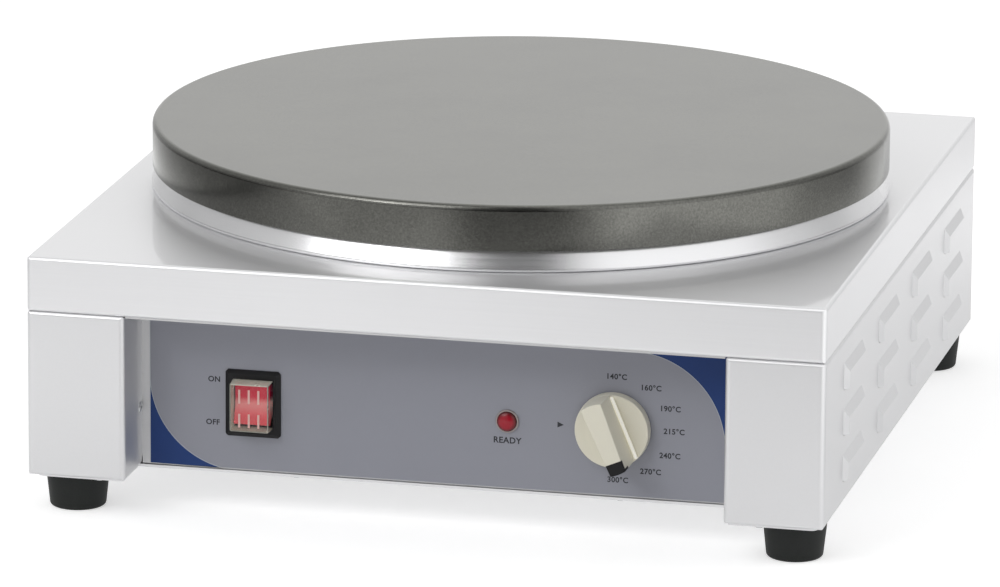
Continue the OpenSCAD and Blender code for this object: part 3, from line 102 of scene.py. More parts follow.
ARROW_REACH, ARROW_RISE = 1.7 * MM, 1.55 * MM
# Clear cover over the switch
COVER_WALL = 0.8 * MM
COVER_ROUND = 0.8 * MM
COVER_TOP_LEAN = 0.9 * MM
COVER_SIDE_LEAN = 0.5 * MM
RIB_ROWS = {"upper": 5.9 * MM, "lower": -7.2 * MM}  # heights over the switch's middle
RIB_STEP = 5.2 * MM
RIB_DEPTH = 0.3 * MM
RIB_ROUND = 0.12 * MM
# Light in the rocker, whose deep red top is painted shade, and the lamp's lens from its clear middle to its
# rim, painted dark as shade
GLOW_RISE, GLOW_REACH = 0.6 * MM, 9 * MM
LENS_CLEAR, LENS_RIM = 3.2 * MM, 5.3 * MM
# Beads beside the knob's grip bar
PLINTH_HEIGHT = 7.8 * MM  # from the overlay to the face that the beads lie on
BEAD_OFFSET = 7.45 * MM
BEAD_INSET = 0.9 * MM
BEAD_STEPS = 8

# ---- Fixed places of the stage, in metres ----

CAMERA_RIGHT = (0.97369, 0.22777, 0.00690)
CAMERA_UP = (-0.06411, 0.24474, 0.96747)
CAMERA_PLACE = (0.97697, -4.25891, 1.21929)
# Lamps: place and width, and the point that they all look at
KEY_LAMP = ((-1.5, -2.1, 2.5), 2.4)
FILL_LAMP = ((2.4, 1.0, 1.5), 2.0)
GLINT_LAMP = ((-1.0, -1.7, 1.3), 0.4)
LAMP_AIM = (0, 0, 0.1)
FLOOR_SIZE = 30
# Studio walls as metal sees them: angle in degrees, from 0 in front to 90 at the right, and level.
# Where the studio is open, None stands for the level that the settings give.
STUDIO_WALLS = (
    (-180, 1.0), (-160, 0.9), (-135, 0.5), (-108, 0.2), (-88, 0.08), (-68, 0.09), (-49, 0.5), (-28, 0.5),
    (-12, 0.45), (1, None), (23, None), (43, 1.25), (84, 1.15), (108, 0.38), (125, 0.2), (145, 0.65),
    (165, 0.8), (180, 1.0),
)
# How metal sees the floor: the ring where the near shade ends, and the ring where the walls begin
NEAR_FROM, NEAR_TO, NEAR_LEVEL = 0.45, 0.66, 1.1
WALLS_FROM, WALLS_TO = 0.69, 0.78
# A dark card at the right and a bright card in front: place, inner and outer radius, level
DARK_CARD = ((0.53, -0.08, 0.0), 0.08, 0.24, 0.55)
BRIGHT_CARD = ((-0.11, -0.64, 0.0), 0.05, 0.16, 1.45)
# The ceiling: how white it is, apart from a dark strip in front about an angle in degrees
CEILING, CEILING_STRIP = 0.5, 0.05
STRIP_ANGLE, STRIP_FROM, STRIP_TO = 11, 11, 20
CEILING_LOW, CEILING_HIGH = -0.1, 0.35


# ---- Settings that a user would change ----

class CrepeSizes(bpy.types.PropertyGroup):
    """Sizes of the print, the cover's ribs and the knob's beads"""
    print_height: bpy.props.FloatProperty(
        name="Print thickness", description="How far ink stands out of the overlay",
        default=0.05 * MM, unit="LENGTH")
    cap_height: bpy.props.FloatProperty(
        name="Letter height", description="Height of the dial's numbers",
        default=3.0 * MM, unit="LENGTH")
    field_radius: bpy.props.FloatProperty(
        name="Corner field radius", description="Radius of the arcs that bound the blue corner fields",
        default=49.4 * MM, unit="LENGTH")
    line_width: bpy.props.FloatProperty(
        name="Line width",
        description="Width of the light lines round the corner fields and beside the overlay",
        default=0.35 * MM, unit="LENGTH")
    rib_length: bpy.props.FloatProperty(
        name="Cover rib length", description="Length of the light ribs on the switch cover",
        default=7.5 * MM, unit="LENGTH")
    rib_width: bpy.props.FloatProperty(
        name="Cover rib width", description="Width of the light ribs on the switch cover",
        default=1.15 * MM, unit="LENGTH")
    bead_radius: bpy.props.FloatProperty(
        name="Knob bead", description="Radius of the beads beside the knob's grip bar",
        default=1.0 * MM, unit="LENGTH")


class CrepeColours(bpy.types.PropertyGroup):
    """Colours of the machine's finishes"""
    steel: bpy.props.FloatVectorProperty(
        name="Stainless steel", description="Colour of the folded body", subtype="COLOR",
        default=(0.75, 0.75, 0.76))
    iron: bpy.props.FloatVectorProperty(
        name="Cast iron", description="Colour of the seasoned hot plate", subtype="COLOR",
        default=(0.2, 0.2, 0.184))
    overlay: bpy.props.FloatVectorProperty(
        name="Overlay grey", description="Colour of the printed overlay", subtype="COLOR",
        default=(0.298, 0.305, 0.350))
    field: bpy.props.FloatVectorProperty(
        name="Corner fields", description="Colour of the overlay's corner fields", subtype="COLOR",
        default=(0.020, 0.052, 0.190))
    ink: bpy.props.FloatVectorProperty(
        name="Ink", description="Colour of the words and numbers", subtype="COLOR",
        default=(0.02, 0.021, 0.028))
    cream: bpy.props.FloatVectorProperty(
        name="Knob", description="Colour of the thermostat knob", subtype="COLOR",
        default=(0.79, 0.76, 0.64))
    red: bpy.props.FloatVectorProperty(
        name="Red", description="Colour of the rocker and the pilot lamp", subtype="COLOR",
        default=(0.60, 0.012, 0.035))
    black: bpy.props.FloatVectorProperty(
        name="Black plastic", description="Colour of the switch bezel and the gland", subtype="COLOR",
        default=(0.008, 0.008, 0.009))


class CrepeStage(bpy.types.PropertyGroup):
    """The lens, the lamps and what is seen of the studio"""
    lens: bpy.props.FloatProperty(
        name="Lens", description="Focal length of the camera in millimetres", default=298.0)
    sky: bpy.props.FloatProperty(
        name="Sky light", description="Strength of the light from all round", default=0.55)
    key: bpy.props.FloatProperty(
        name="Key light", description="Power of the large lamp at the front left", default=34.0, unit="POWER")
    fill: bpy.props.FloatProperty(
        name="Fill light", description="Power of the large lamp at the back right", default=20.0,
        unit="POWER")
    glint: bpy.props.FloatProperty(
        name="Glint light", description="Power of the small lamp that draws the highlights", default=3.0,
        unit="POWER")
    gap: bpy.props.FloatProperty(
        name="Studio gap", description="How bright metal shows the studio's open side, behind the camera",
        default=0.02, min=0.0, max=1.0)
    shade: bpy.props.FloatProperty(
        name="Near shade", description="How bright metal shows the floor close to the machine",
        default=0.76, min=0.0, max=1.0)
    floor_glow: bpy.props.FloatProperty(
        name="Floor white", description="How much the floor is lifted towards white in view", default=0.48)


# ---- Modelling helpers ----

def deselect():
    """Leaves edit mode and selects nothing."""
    if bpy.context.object and bpy.context.object.mode != "OBJECT":
        bpy.ops.object.mode_set(mode="OBJECT")
    bpy.ops.object.select_all(action="DESELECT")


def activate(piece):
    """Selects one piece alone and makes it active."""
    deselect()
    bpy.context.view_layer.objects.active = piece
    piece.select_set(True)


def begin(name, adder, **settings):
    """Adds a primitive, names it and applies its place to its mesh."""
    deselect()
    adder(**settings)
    piece = bpy.context.object
    piece.name = piece.data.name = name
    bpy.ops.object.transform_apply(location=True, rotation=True, scale=True)
    return piece


def edit(piece, mode="FACE"):
    """Opens a piece in edit mode with nothing selected."""
    activate(piece)
    bpy.ops.object.mode_set(mode="EDIT")
    bpy.ops.mesh.select_mode(type=mode)
    bpy.ops.mesh.select_all(action="DESELECT")


def pick(piece, kind, test):
    """Selects the faces, edges or vertices of the piece in edit mode that pass a test."""
    bpy.ops.mesh.select_mode(type=kind)
    bpy.ops.mesh.select_all(action="DESELECT")
    shape = bmesh.from_edit_mesh(piece.data)
    items = {"FACE": shape.faces, "EDGE": shape.edges, "VERT": shape.verts}[kind]
    for item in [item for item in items if test(item)]:
        item.select_set(True)
    shape.select_flush_mode()
    bmesh.update_edit_mesh(piece.data)


def leave(piece):
    """Closes edit mode."""
    bpy.ops.object.mode_set(mode="OBJECT")
    return piece


def box(name, low, high):
    """Starts a piece as a box from corner to corner."""
    low, high = Vector(low), Vector(high)
    return begin(name, bpy.ops.mesh.primitive_cube_add, size=1, location=(low + high) / 2, scale=high - low)


def chain(name, points):
    """Starts a piece as a chain of edges, drawn by extruding one vertex from point to point."""
    piece = begin(name, bpy.ops.mesh.primitive_plane_add, size=MM)
    points = [Vector(p) for p in points]
    edit(piece, "VERT")
    bpy.ops.mesh.select_all(action="SELECT")
    bpy.ops.mesh.merge(type="CENTER")
    bpy.ops.transform.translate(value=points[0])
    for a, b in zip(points, points[1:]):
        bpy.ops.mesh.extrude_region_move(TRANSFORM_OT_translate={"value": b - a})
    return leave(piece)


def tidy_normals(piece, gap=1e-6):
    """Merges doubles and turns all faces outwards."""
    edit(piece, "VERT")
    bpy.ops.mesh.select_all(action="SELECT")
    bpy.ops.mesh.remove_doubles(threshold=gap)
    bpy.ops.mesh.normals_make_consistent(inside=False)
    return leave(piece)


def slab(name, outline, thickness):
    """A flat piece: a closed outline filled and extruded by a vector."""
    piece = chain(name, outline)
    edit(piece, "VERT")
    bpy.ops.mesh.select_all(action="SELECT")
    bpy.ops.mesh.edge_face_add()
    bpy.ops.mesh.select_mode(type="FACE")
    bpy.ops.mesh.select_all(action="SELECT")
    bpy.ops.mesh.extrude_region_move(TRANSFORM_OT_translate={"value": thickness})
    leave(piece)
    return tidy_normals(piece)


def use(piece, kind, **settings):
    """Adds a modifier with its settings and applies it."""
    activate(piece)
    modifier = piece.modifiers.new(kind.title(), kind)
    for key, value in settings.items():
        setattr(modifier, key, value)
    bpy.ops.object.modifier_apply(modifier=modifier.name)
    return piece


def shade(piece, angle=35.0):
    """Smooths round faces, keeps sharp edges and keeps flat faces flat in shading."""
    activate(piece)
    bpy.ops.object.shade_smooth_by_angle(angle=math.radians(angle))
    return use(piece, "WEIGHTED_NORMAL", keep_sharp=True, weight=80)


def arc(centre, radius, start, end, steps):
    """(x, z) points of an arc in degrees."""
    return [(centre[0] + radius * math.cos(math.radians(start + (end - start) * i / steps)),
             centre[1] + radius * math.sin(math.radians(start + (end - start) * i / steps)))
            for i in range(steps + 1)]


def on_face(points, depth=0.0):
    """Points (x, z) set on the overlay's face, sunk into it by depth."""
    return [(x, FACE_Y + depth, z) for x, z in points]


def finish(piece, body, slot, material, *replaced):
    """Gives a piece its material, the nodes that it replaces and its body. Its slot is not used."""
    piece.data.materials.clear()
    piece.data.materials.append(material)
    if replaced:
        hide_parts(*replaced)
    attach(piece, body)
    return piece


def coat(material, *names):
    """Gives carried-over nodes their material."""
    for name in names:
        for place in nodes[name].material_slots:
            place.material = material


# ---- Shader helpers ----

def put(tree, kind, values=None, **settings):
    """Adds a shader node. A value is a plain number or colour, or a socket to link."""
    made = tree.nodes.new("ShaderNode" + kind)
    for key, value in settings.items():
        setattr(made, key, value)
    for key, value in (values or {}).items():
        if isinstance(value, bpy.types.NodeSocket):
            tree.links.new(value, made.inputs[key])
        else:
            made.inputs[key].default_value = value
    return made


def rgba(colour, shade_by=1.0):
    """A colour, lighter or darker, with full alpha."""
    return (colour[0] * shade_by, colour[1] * shade_by, colour[2] * shade_by, 1.0)


SHADES = (("Light", "Color", (1, 1, 1, 1)), ("Dark", "Color", (0, 0, 0, 1)))


def effect(name, inputs, outputs):
    """Starts a shader node group with named sockets. All its outputs but Color are numbers."""
    group = bpy.data.node_groups.new(name, "ShaderNodeTree")
    for label, kind, value in inputs:
        socket = group.interface.new_socket(label, in_out="INPUT", socket_type="NodeSocket" + kind)
        socket.default_value = value
    for label in outputs:
        kind = "Color" if label == "Color" else "Float"
        group.interface.new_socket(label, in_out="OUTPUT", socket_type="NodeSocket" + kind)
    return group, group.nodes.new("NodeGroupInput"), group.nodes.new("NodeGroupOutput")


def shades(group, start, share):
    """The group's dark and light shades, mixed by a share."""
    return put(group, "Mix", {6: start.outputs["Dark"], 7: start.outputs["Light"], 0: share},
               data_type="RGBA").outputs[2]


def give(group, end, **results):
    """Links a group's results to its outputs."""
    for label, socket in results.items():
        group.links.new(socket, end.inputs[label])
    return group


def upward(group, place):
    """How far a face looks up, from -1 to 1."""
    return put(group, "SeparateXYZ", {"Vector": place.outputs["Normal"]}).outputs["Z"]


def group_grain():
    """Colour that drifts between two shades, and a fine height, both from layered noise."""
    group, start, end = effect("Grain", [
        *SHADES, ("Stretch", "Vector", (1, 1, 1)), ("Patch Size", "Float", 40.0),
        ("Grain Size", "Float", 1200.0)], ["Color", "Patch", "Height"])
    place = put(group, "TexCoord").outputs["Object"]
    where = put(group, "VectorMath", {0: place, 1: start.outputs["Stretch"]}, operation="MULTIPLY")
    where = where.outputs["Vector"]
    patch = put(group, "TexNoise", {"Vector": where, "Scale": start.outputs["Patch Size"], "Detail": 4.0,
                                    "Roughness": 0.6}).outputs["Fac"]
    grain = put(group, "TexNoise", {"Vector": where, "Scale": start.outputs["Grain Size"], "Detail": 3.0,
                                    "Roughness": 0.65}).outputs["Fac"]
    blend = put(group, "Math", {0: patch, 1: grain}, operation="ADD")
    spread = put(group, "MapRange", {"Value": blend.outputs[0], "From Min": 0.7, "From Max": 1.3})
    return give(group, end, Color=shades(group, start, spread.outputs[0]), Patch=patch, Height=grain)


def group_brushed():
    """Long fine scratches across one direction, with soft smears. Level is 1 on faces that look up."""
    group, start, end = effect("Brushed", [
        *SHADES, ("Stretch", "Vector", (0.02, 1, 1)), ("Line Size", "Float", 900.0)],
        ["Color", "Lines", "Smear", "Level"])
    place = put(group, "TexCoord")
    coordinates = place.outputs["Object"]
    along = put(group, "VectorMath", {0: coordinates, 1: start.outputs["Stretch"]}, operation="MULTIPLY")
    lines = put(group, "TexNoise", {"Vector": along.outputs["Vector"], "Scale": start.outputs["Line Size"],
                                    "Detail": 5.0, "Roughness": 0.7}).outputs["Fac"]
    smear = put(group, "TexNoise", {"Vector": coordinates, "Scale": 9.0, "Detail": 3.0, "Roughness": 0.5})
    share = put(group, "MapRange", {"Value": lines, "From Min": 0.3, "From Max": 0.7}).outputs[0]
    level = put(group, "MapRange", {"Value": upward(group, place), "From Min": 0.8, "From Max": 0.95})
    return give(group, end, Color=shades(group, start, share), Lines=lines, Smear=smear.outputs["Fac"],
                Level=level.outputs[0])


def group_painted_rim_shade():
    """A round lens seen from the front: light inside, painted dark towards its rim as shade."""
    group, start, end = effect("Rim", [
        *SHADES, ("Middle", "Vector", (0, 0, 0)), ("Inner", "Float", 0.003), ("Outer", "Float", 0.005)],
        ["Color"])
    place = put(group, "TexCoord").outputs["Object"]
    away = put(group, "VectorMath", {0: place, 1: start.outputs["Middle"]}, operation="SUBTRACT")
    flat = put(group, "VectorMath", {0: away.outputs["Vector"], 1: (1, 0, 1)}, operation="MULTIPLY")
    reach = put(group, "VectorMath", {0: flat.outputs["Vector"]}, operation="LENGTH").outputs["Value"]
    share = put(group, "MapRange", {"Value": reach, "From Min": start.outputs["Outer"],
                                    "From Max": start.outputs["Inner"]}).outputs[0]
    return give(group, end, Color=shades(group, start, share))


def group_glow_and_painted_shade():
    """Light that shines through a lit rocker: deep red at its top, painted shade of the pressed-in half, pale
    in its middle, clear red at its foot.
    """
    group, start, end = effect("Glow", [("Middle", "Float", 0.0), ("Reach", "Float", 0.01)], ["Color"])
    height = put(group, "SeparateXYZ", {"Vector": put(group, "TexCoord").outputs["Object"]}).outputs["Z"]
    over = put(group, "Math", {0: height, 1: start.outputs["Middle"]}, operation="SUBTRACT")
    share = put(group, "Math", {0: over.outputs[0], 1: start.outputs["Reach"]}, operation="DIVIDE")
    ramp = put(group, "ValToRGB", {"Fac": put(group, "MapRange", {
        "Value": share.outputs[0], "From Min": -1.0, "From Max": 1.0}).outputs[0]})
    ramp.color_ramp.interpolation = "EASE"
    points = ramp.color_ramp.elements
    points.new(0.5)
    for point, (place, colour) in zip(points, ((0.1, (0.9, 0.3, 0.3, 1)), (0.5, (1.0, 1.0, 0.9, 1)),
                                               (0.72, (0.3, 0.0, 0.05, 1)))):
        point.position = place
        point.color = colour
    return give(group, end, Color=ramp.outputs["Color"])


def group_spangle():
    """Crystal flakes of a zinc coat."""
    group, start, end = effect("Zinc Spangle", [*SHADES, ("Flake Size", "Float", 140.0)], ["Color", "Flake"])
    coordinates = put(group, "TexCoord").outputs["Object"]
    bent = put(group, "TexNoise", {"Vector": coordinates, "Scale": 60.0, "Detail": 2.0})
    shifted = put(group, "Mix", {4: coordinates, 5: bent.outputs["Color"], 0: 0.006}, data_type="VECTOR")
    flakes = put(group, "TexVoronoi", {"Vector": shifted.outputs[1], "Scale": start.outputs["Flake Size"]})
    flake = put(group, "SeparateColor", {"Color": flakes.outputs["Color"]}).outputs[0]
    return give(group, end, Color=shades(group, start, flake), Flake=flake)


def group_cast():
    """Open grain of a cast and seasoned surface. Its sides are rougher than its machined top, and darker in
    painted shade.
    """
    group, start, end = effect("Cast Surface", [
        *SHADES, ("Grain Size", "Float", 700.0), ("Side Painted Shade", "Float", 0.73), ("Side Grain", "Float", 2.5)],
        ["Color", "Patch", "Height"])
    place = put(group, "TexCoord")
    coordinates = place.outputs["Object"]
    grains = put(group, "TexNoise", {"Vector": coordinates, "Scale": start.outputs["Grain Size"],
                                     "Detail": 6.0, "Roughness": 0.75}).outputs["Fac"]
    pits = put(group, "TexVoronoi", {"Vector": coordinates, "Scale": 520.0}, feature="SMOOTH_F1")
    patch = put(group, "TexNoise", {"Vector": coordinates, "Scale": 14.0, "Detail": 5.0,
                                    "Roughness": 0.6}).outputs["Fac"]
    pit_depth = put(group, "Math", {0: pits.outputs["Distance"], 1: 0.6}, operation="MULTIPLY")
    height = put(group, "Math", {0: grains, 1: pit_depth.outputs[0]}, operation="ADD")
    blend = put(group, "Math", {0: grains, 1: patch}, operation="ADD")
    level = put(group, "MapRange", {"Value": blend.outputs[0], "From Min": 0.75, "From Max": 1.25})
    mottle = put(group, "MapRange", {"Value": grains, "From Min": 0.4, "From Max": 0.62, "To Min": 0.88,
                                     "To Max": 1.14})
    # The sides' colour is darkened as painted shade, with a random mottle from the grain
    side = put(group, "Math", {0: mottle.outputs[0], 1: start.outputs["Side Painted Shade"]}, operation="MULTIPLY")
    rise = upward(group, place)
    shade_by, grain_by = [
        put(group, "MapRange", {"Value": rise, "From Min": 0.8, "From Max": 0.95, "To Min": on_side,
                                "To Max": 1.0}).outputs[0]
        for on_side in (side.outputs[0], start.outputs["Side Grain"])]
    shaded = put(group, "VectorMath", {0: shades(group, start, level.outputs[0]), "Scale": shade_by},
                 operation="SCALE")
    raised = put(group, "Math", {0: height.outputs[0], 1: grain_by}, operation="MULTIPLY")
    return give(group, end, Color=shaded.outputs["Vector"], Patch=patch, Height=raised.outputs[0])


groups = {}
finishes = {}


def placed_group(tree, name, values):
    """Places an effect in a material."""
    made = tree.nodes.new("ShaderNodeGroup")
    made.node_tree = groups[name]
    for key, value in values.items():
        made.inputs[key].default_value = value
    return made


def shader_material(name, **settings):
    """A material with a Principled shader and its plain settings."""
    made = bpy.data.materials.new(name)
    made.use_nodes = True
    tree = made.node_tree
    principled = tree.nodes["Principled BSDF"]
    for key, value in settings.items():
        principled.inputs[key.replace("_", " ")].default_value = value
    finishes[name] = made
    return tree, principled


def ranged(tree, value, low, high, spread=(0.3, 0.7)):
    """A number that follows a pattern between low and high."""
    return put(tree, "MapRange", {"Value": value, "From Min": spread[0], "From Max": spread[1],
                                  "To Min": low, "To Max": high}).outputs[0]


def bump(tree, principled, height, distance, strength=1.0):
    """Raises a pattern by a distance in metres."""
    made = put(tree, "Bump", {"Height": height, "Distance": distance, "Strength": strength})
    tree.links.new(made.outputs["Normal"], principled.inputs["Normal"])


def brushed_metal(name, colour, roughness, metallic, stretch, contrast=0.012, depth=0.000001, lines=900.0,
                  spread=0.03, polish=False):
    """Brushed sheet. Polish lays a clear sheen over its level faces."""
    tree, principled = shader_material(name, Metallic=metallic, Coat_Roughness=0.06)
    effect_node = placed_group(tree, "Brushed", {
        "Light": rgba(colour, 1 + contrast), "Dark": rgba(colour, 1 - contrast), "Stretch": stretch,
        "Line Size": lines})
    tree.links.new(effect_node.outputs["Color"], principled.inputs["Base Color"])
    fine = ranged(tree, effect_node.outputs["Lines"], roughness - spread, roughness + spread)
    broad = ranged(tree, effect_node.outputs["Smear"], -0.01, 0.015)
    rough = put(tree, "Math", {0: fine, 1: broad}, operation="ADD")
    tree.links.new(rough.outputs[0], principled.inputs["Roughness"])
    bump(tree, principled, effect_node.outputs["Lines"], depth)
    if polish:
        tree.links.new(ranged(tree, effect_node.outputs["Level"], 0.0, 0.7, (0.0, 1.0)),
                       principled.inputs["Coat Weight"])


def grained(name, colour, roughness, contrast=0.06, patch=40.0, grain=1200.0, depth=0.00001, metallic=0.0,
            stretch=(1, 1, 1), **settings):
    """Plain stuff with a fine grain. Contrast, patch, grain and depth say how its colour and height drift."""
    tree, principled = shader_material(name, Metallic=metallic, **settings)
    effect_node = placed_group(tree, "Grain", {
        "Light": rgba(colour, 1 + contrast), "Dark": rgba(colour, 1 - contrast), "Stretch": stretch,
        "Patch Size": patch, "Grain Size": grain})
    tree.links.new(effect_node.outputs["Color"], principled.inputs["Base Color"])
    tree.links.new(ranged(tree, effect_node.outputs["Patch"], roughness - 0.05, roughness + 0.05),
                   principled.inputs["Roughness"])
    bump(tree, principled, effect_node.outputs["Height"], depth)
    return tree, principled


def sheet_finishes(colours):
    """The body's brushed steel, the zinc of its inner sheets, and the plated fasteners."""
    steel = tuple(colours.steel)
    brushed_metal("steel_across", rgba(steel, 1.11), roughness=0.42, metallic=0.8, stretch=(0.012, 1, 1),
                  polish=True)
    brushed_metal("steel_along", steel, roughness=0.4, metallic=0.84, stretch=(1, 0.012, 1))
    # A darker copy of the steel: painted shade for the control panel's bare margins in the recess between the
    # posts
    brushed_metal("steel_recess_painted_shade", rgba(steel, 0.8), roughness=0.4, metallic=0.86, stretch=(0.012, 1, 1))
    brushed_metal("steel_drawn", rgba(steel, 1.15), roughness=0.22, metallic=0.88, stretch=(0.02, 0.02, 1),
                  contrast=0.01, depth=0.0000003)
    tree, principled = shader_material("zinc_sheet", Metallic=0.85)
    flakes = placed_group(tree, "Spangle", {"Light": (0.62, 0.63, 0.65, 1), "Dark": (0.46, 0.47, 0.49, 1)})
    tree.links.new(flakes.outputs["Color"], principled.inputs["Base Color"])
    tree.links.new(ranged(tree, flakes.outputs["Flake"], 0.3, 0.48, (0.0, 1.0)),
                   principled.inputs["Roughness"])
    grained("zinc_plate", (0.66, 0.67, 0.68), roughness=0.28, patch=90.0, grain=1500.0, depth=0.000001,
            metallic=0.9)


def heating_finishes(colours):
    """The hot plate's cast iron, and what heats it from below."""
    iron = tuple(colours.iron)
    tree, principled = shader_material("cast_iron", Metallic=1.0)
    cast = placed_group(tree, "Cast", {"Light": rgba(iron, 1.15), "Dark": rgba(iron, 0.86),
                                       "Grain Size": 900.0})
    tree.links.new(cast.outputs["Color"], principled.inputs["Base Color"])
    tree.links.new(ranged(tree, cast.outputs["Patch"], 0.19, 0.24), principled.inputs["Roughness"])
    bump(tree, principled, cast.outputs["Height"], 0.000004, 0.6)
    grained("element_steel", (0.16, 0.15, 0.15), roughness=0.5, contrast=0.2, patch=30.0, grain=900.0,
            metallic=0.7)
    grained("mineral_fibre", (0.78, 0.76, 0.7), roughness=0.95, contrast=0.1, patch=60.0, grain=700.0,
            depth=0.0004)
    grained("copper", (0.62, 0.28, 0.14), roughness=0.3, contrast=0.08, patch=60.0, depth=0.000004,
            metallic=0.95)


def panel_finishes(colours):
    """The overlay, its print and the plain plastics round it."""
    grained("overlay_grey", tuple(colours.overlay), roughness=0.42, contrast=0.025, patch=30.0,
            grain=2600.0, depth=0.000006)
    grained("overlay_blue", tuple(colours.field), roughness=0.4, contrast=0.05, patch=30.0, grain=2600.0,
            depth=0.000006, Specular_IOR_Level=0.2)
    grained("print_ink", tuple(colours.ink), roughness=0.55, contrast=0.1, patch=80.0, grain=3000.0,
            depth=0.000003)
    grained("print_white", (0.46, 0.49, 0.52), roughness=0.5, contrast=0.05, patch=80.0, grain=3000.0,
            depth=0.000003)
    grained("black_plastic", tuple(colours.black), roughness=0.36, contrast=0.15, patch=90.0, grain=2400.0,
            depth=0.000008, Specular_IOR_Level=0.22)
    grained("cream_plastic", tuple(colours.cream), roughness=0.34, contrast=0.015, patch=45.0, grain=2000.0,
            depth=0.0000015, Specular_IOR_Level=0.4)
    # The knob's beads: a lighter cream with a faint glow, a painted highlight
    grained("bead_painted_highlight", (0.95, 0.93, 0.84), roughness=0.25, contrast=0.015, patch=45.0, grain=2000.0,
            depth=0.000001, Emission_Color=(1.0, 0.96, 0.84, 1), Emission_Strength=0.22)
    grained("pale_plastic", (0.6, 0.58, 0.52), roughness=0.5, contrast=0.05, patch=60.0, grain=1800.0)


def switch_and_lamp_finishes(colours):
    """The lit rocker, its clear cover, and the pilot lamp."""
    red = tuple(colours.red)
    tree, principled = grained("red_rocker", red, roughness=0.3, patch=90.0, grain=900.0, depth=0.000002,
                               Specular_IOR_Level=0.25, Emission_Strength=0.15)
    # The rocker's glow is real light; its deep red top is painted shade of the pressed-in half
    glow = placed_group(tree, "Glow", {"Middle": SWITCH.z + GLOW_RISE, "Reach": GLOW_REACH})
    tree.links.new(glow.outputs["Color"], principled.inputs["Emission Color"])
    tree, principled = grained("red_lens", (red[0] * 0.6, red[1] * 0.7, red[2] * 0.4), roughness=0.2,
                               contrast=0.2, patch=260.0, grain=1400.0, depth=0.000004,
                               Specular_IOR_Level=0.4)
    # Painted shade: the lens darkens from its clear middle towards its rim
    rim = placed_group(tree, "Rim", {"Middle": tuple(LAMP), "Inner": LENS_CLEAR, "Outer": LENS_RIM,
                                     "Light": rgba(red, 0.6), "Dark": (0.07, 0.008, 0.009, 1)})
    tree.links.new(rim.outputs["Color"], principled.inputs["Base Color"])
    grained("cover_ribs", (0.86, 0.55, 0.50), roughness=0.4, contrast=0.05, patch=90.0, grain=1800.0,
            depth=0.000002, Transmission_Weight=0.15)
    grained("lamp_ring", (0.38, 0.33, 0.32), roughness=0.35, contrast=0.04, patch=60.0, grain=1500.0,
            depth=0.000002, metallic=0.6)
    grained("clear_cover", (0.94, 0.94, 0.92), roughness=0.06, contrast=0.02, patch=60.0, grain=900.0,
            depth=0.000001, Transmission_Weight=1.0, IOR=1.3)
    # The cover's walls: greyer and less clear, with a faint glow that is painted light
    grained("clear_wall_painted_glow", (0.72, 0.71, 0.63), roughness=0.25, contrast=0.03, patch=60.0, grain=900.0,
            depth=0.000001, Transmission_Weight=0.5, IOR=1.4, Emission_Color=(0.8, 0.8, 0.7, 1),
            Emission_Strength=0.05)


def wiring_and_foot_finishes():
    """Brass terminals, the leads' insulation and the feet's rubber."""
    grained("brass", (0.72, 0.55, 0.25), roughness=0.3, contrast=0.08, patch=60.0, depth=0.000004,
            metallic=0.95)
    grained("foot_rubber", (0.014, 0.016, 0.015), roughness=0.6, contrast=0.25, patch=70.0, grain=1600.0,
            depth=0.00002, Specular_IOR_Level=0.3)
    for name, colour in {"lead_brown_blue": (0.18, 0.07, 0.03), "lead_earth": (0.12, 0.3, 0.04),
                         "lead_white": (0.7, 0.7, 0.64), "lead_black": (0.03, 0.03, 0.03),
                         "lead_grey": (0.12, 0.12, 0.14)}.items():
        grained(name, colour, roughness=0.42, contrast=0.1, patch=80.0, grain=1500.0)


def make_finishes():
    """Builds the effects once, and every material with its own values."""
    groups.update(Grain=group_grain(), Brushed=group_brushed(), Spangle=group_spangle(), Cast=group_cast(),
                  Glow=group_glow_and_painted_shade(), Rim=group_painted_rim_shade())
    colours = bpy.context.scene.crepe_colours
    sheet_finishes(colours)
    heating_finishes(colours)
    panel_finishes(colours)
    switch_and_lamp_finishes(colours)
    wiring_and_foot_finishes()


# ---- Operators: one for each piece or group of like pieces ----

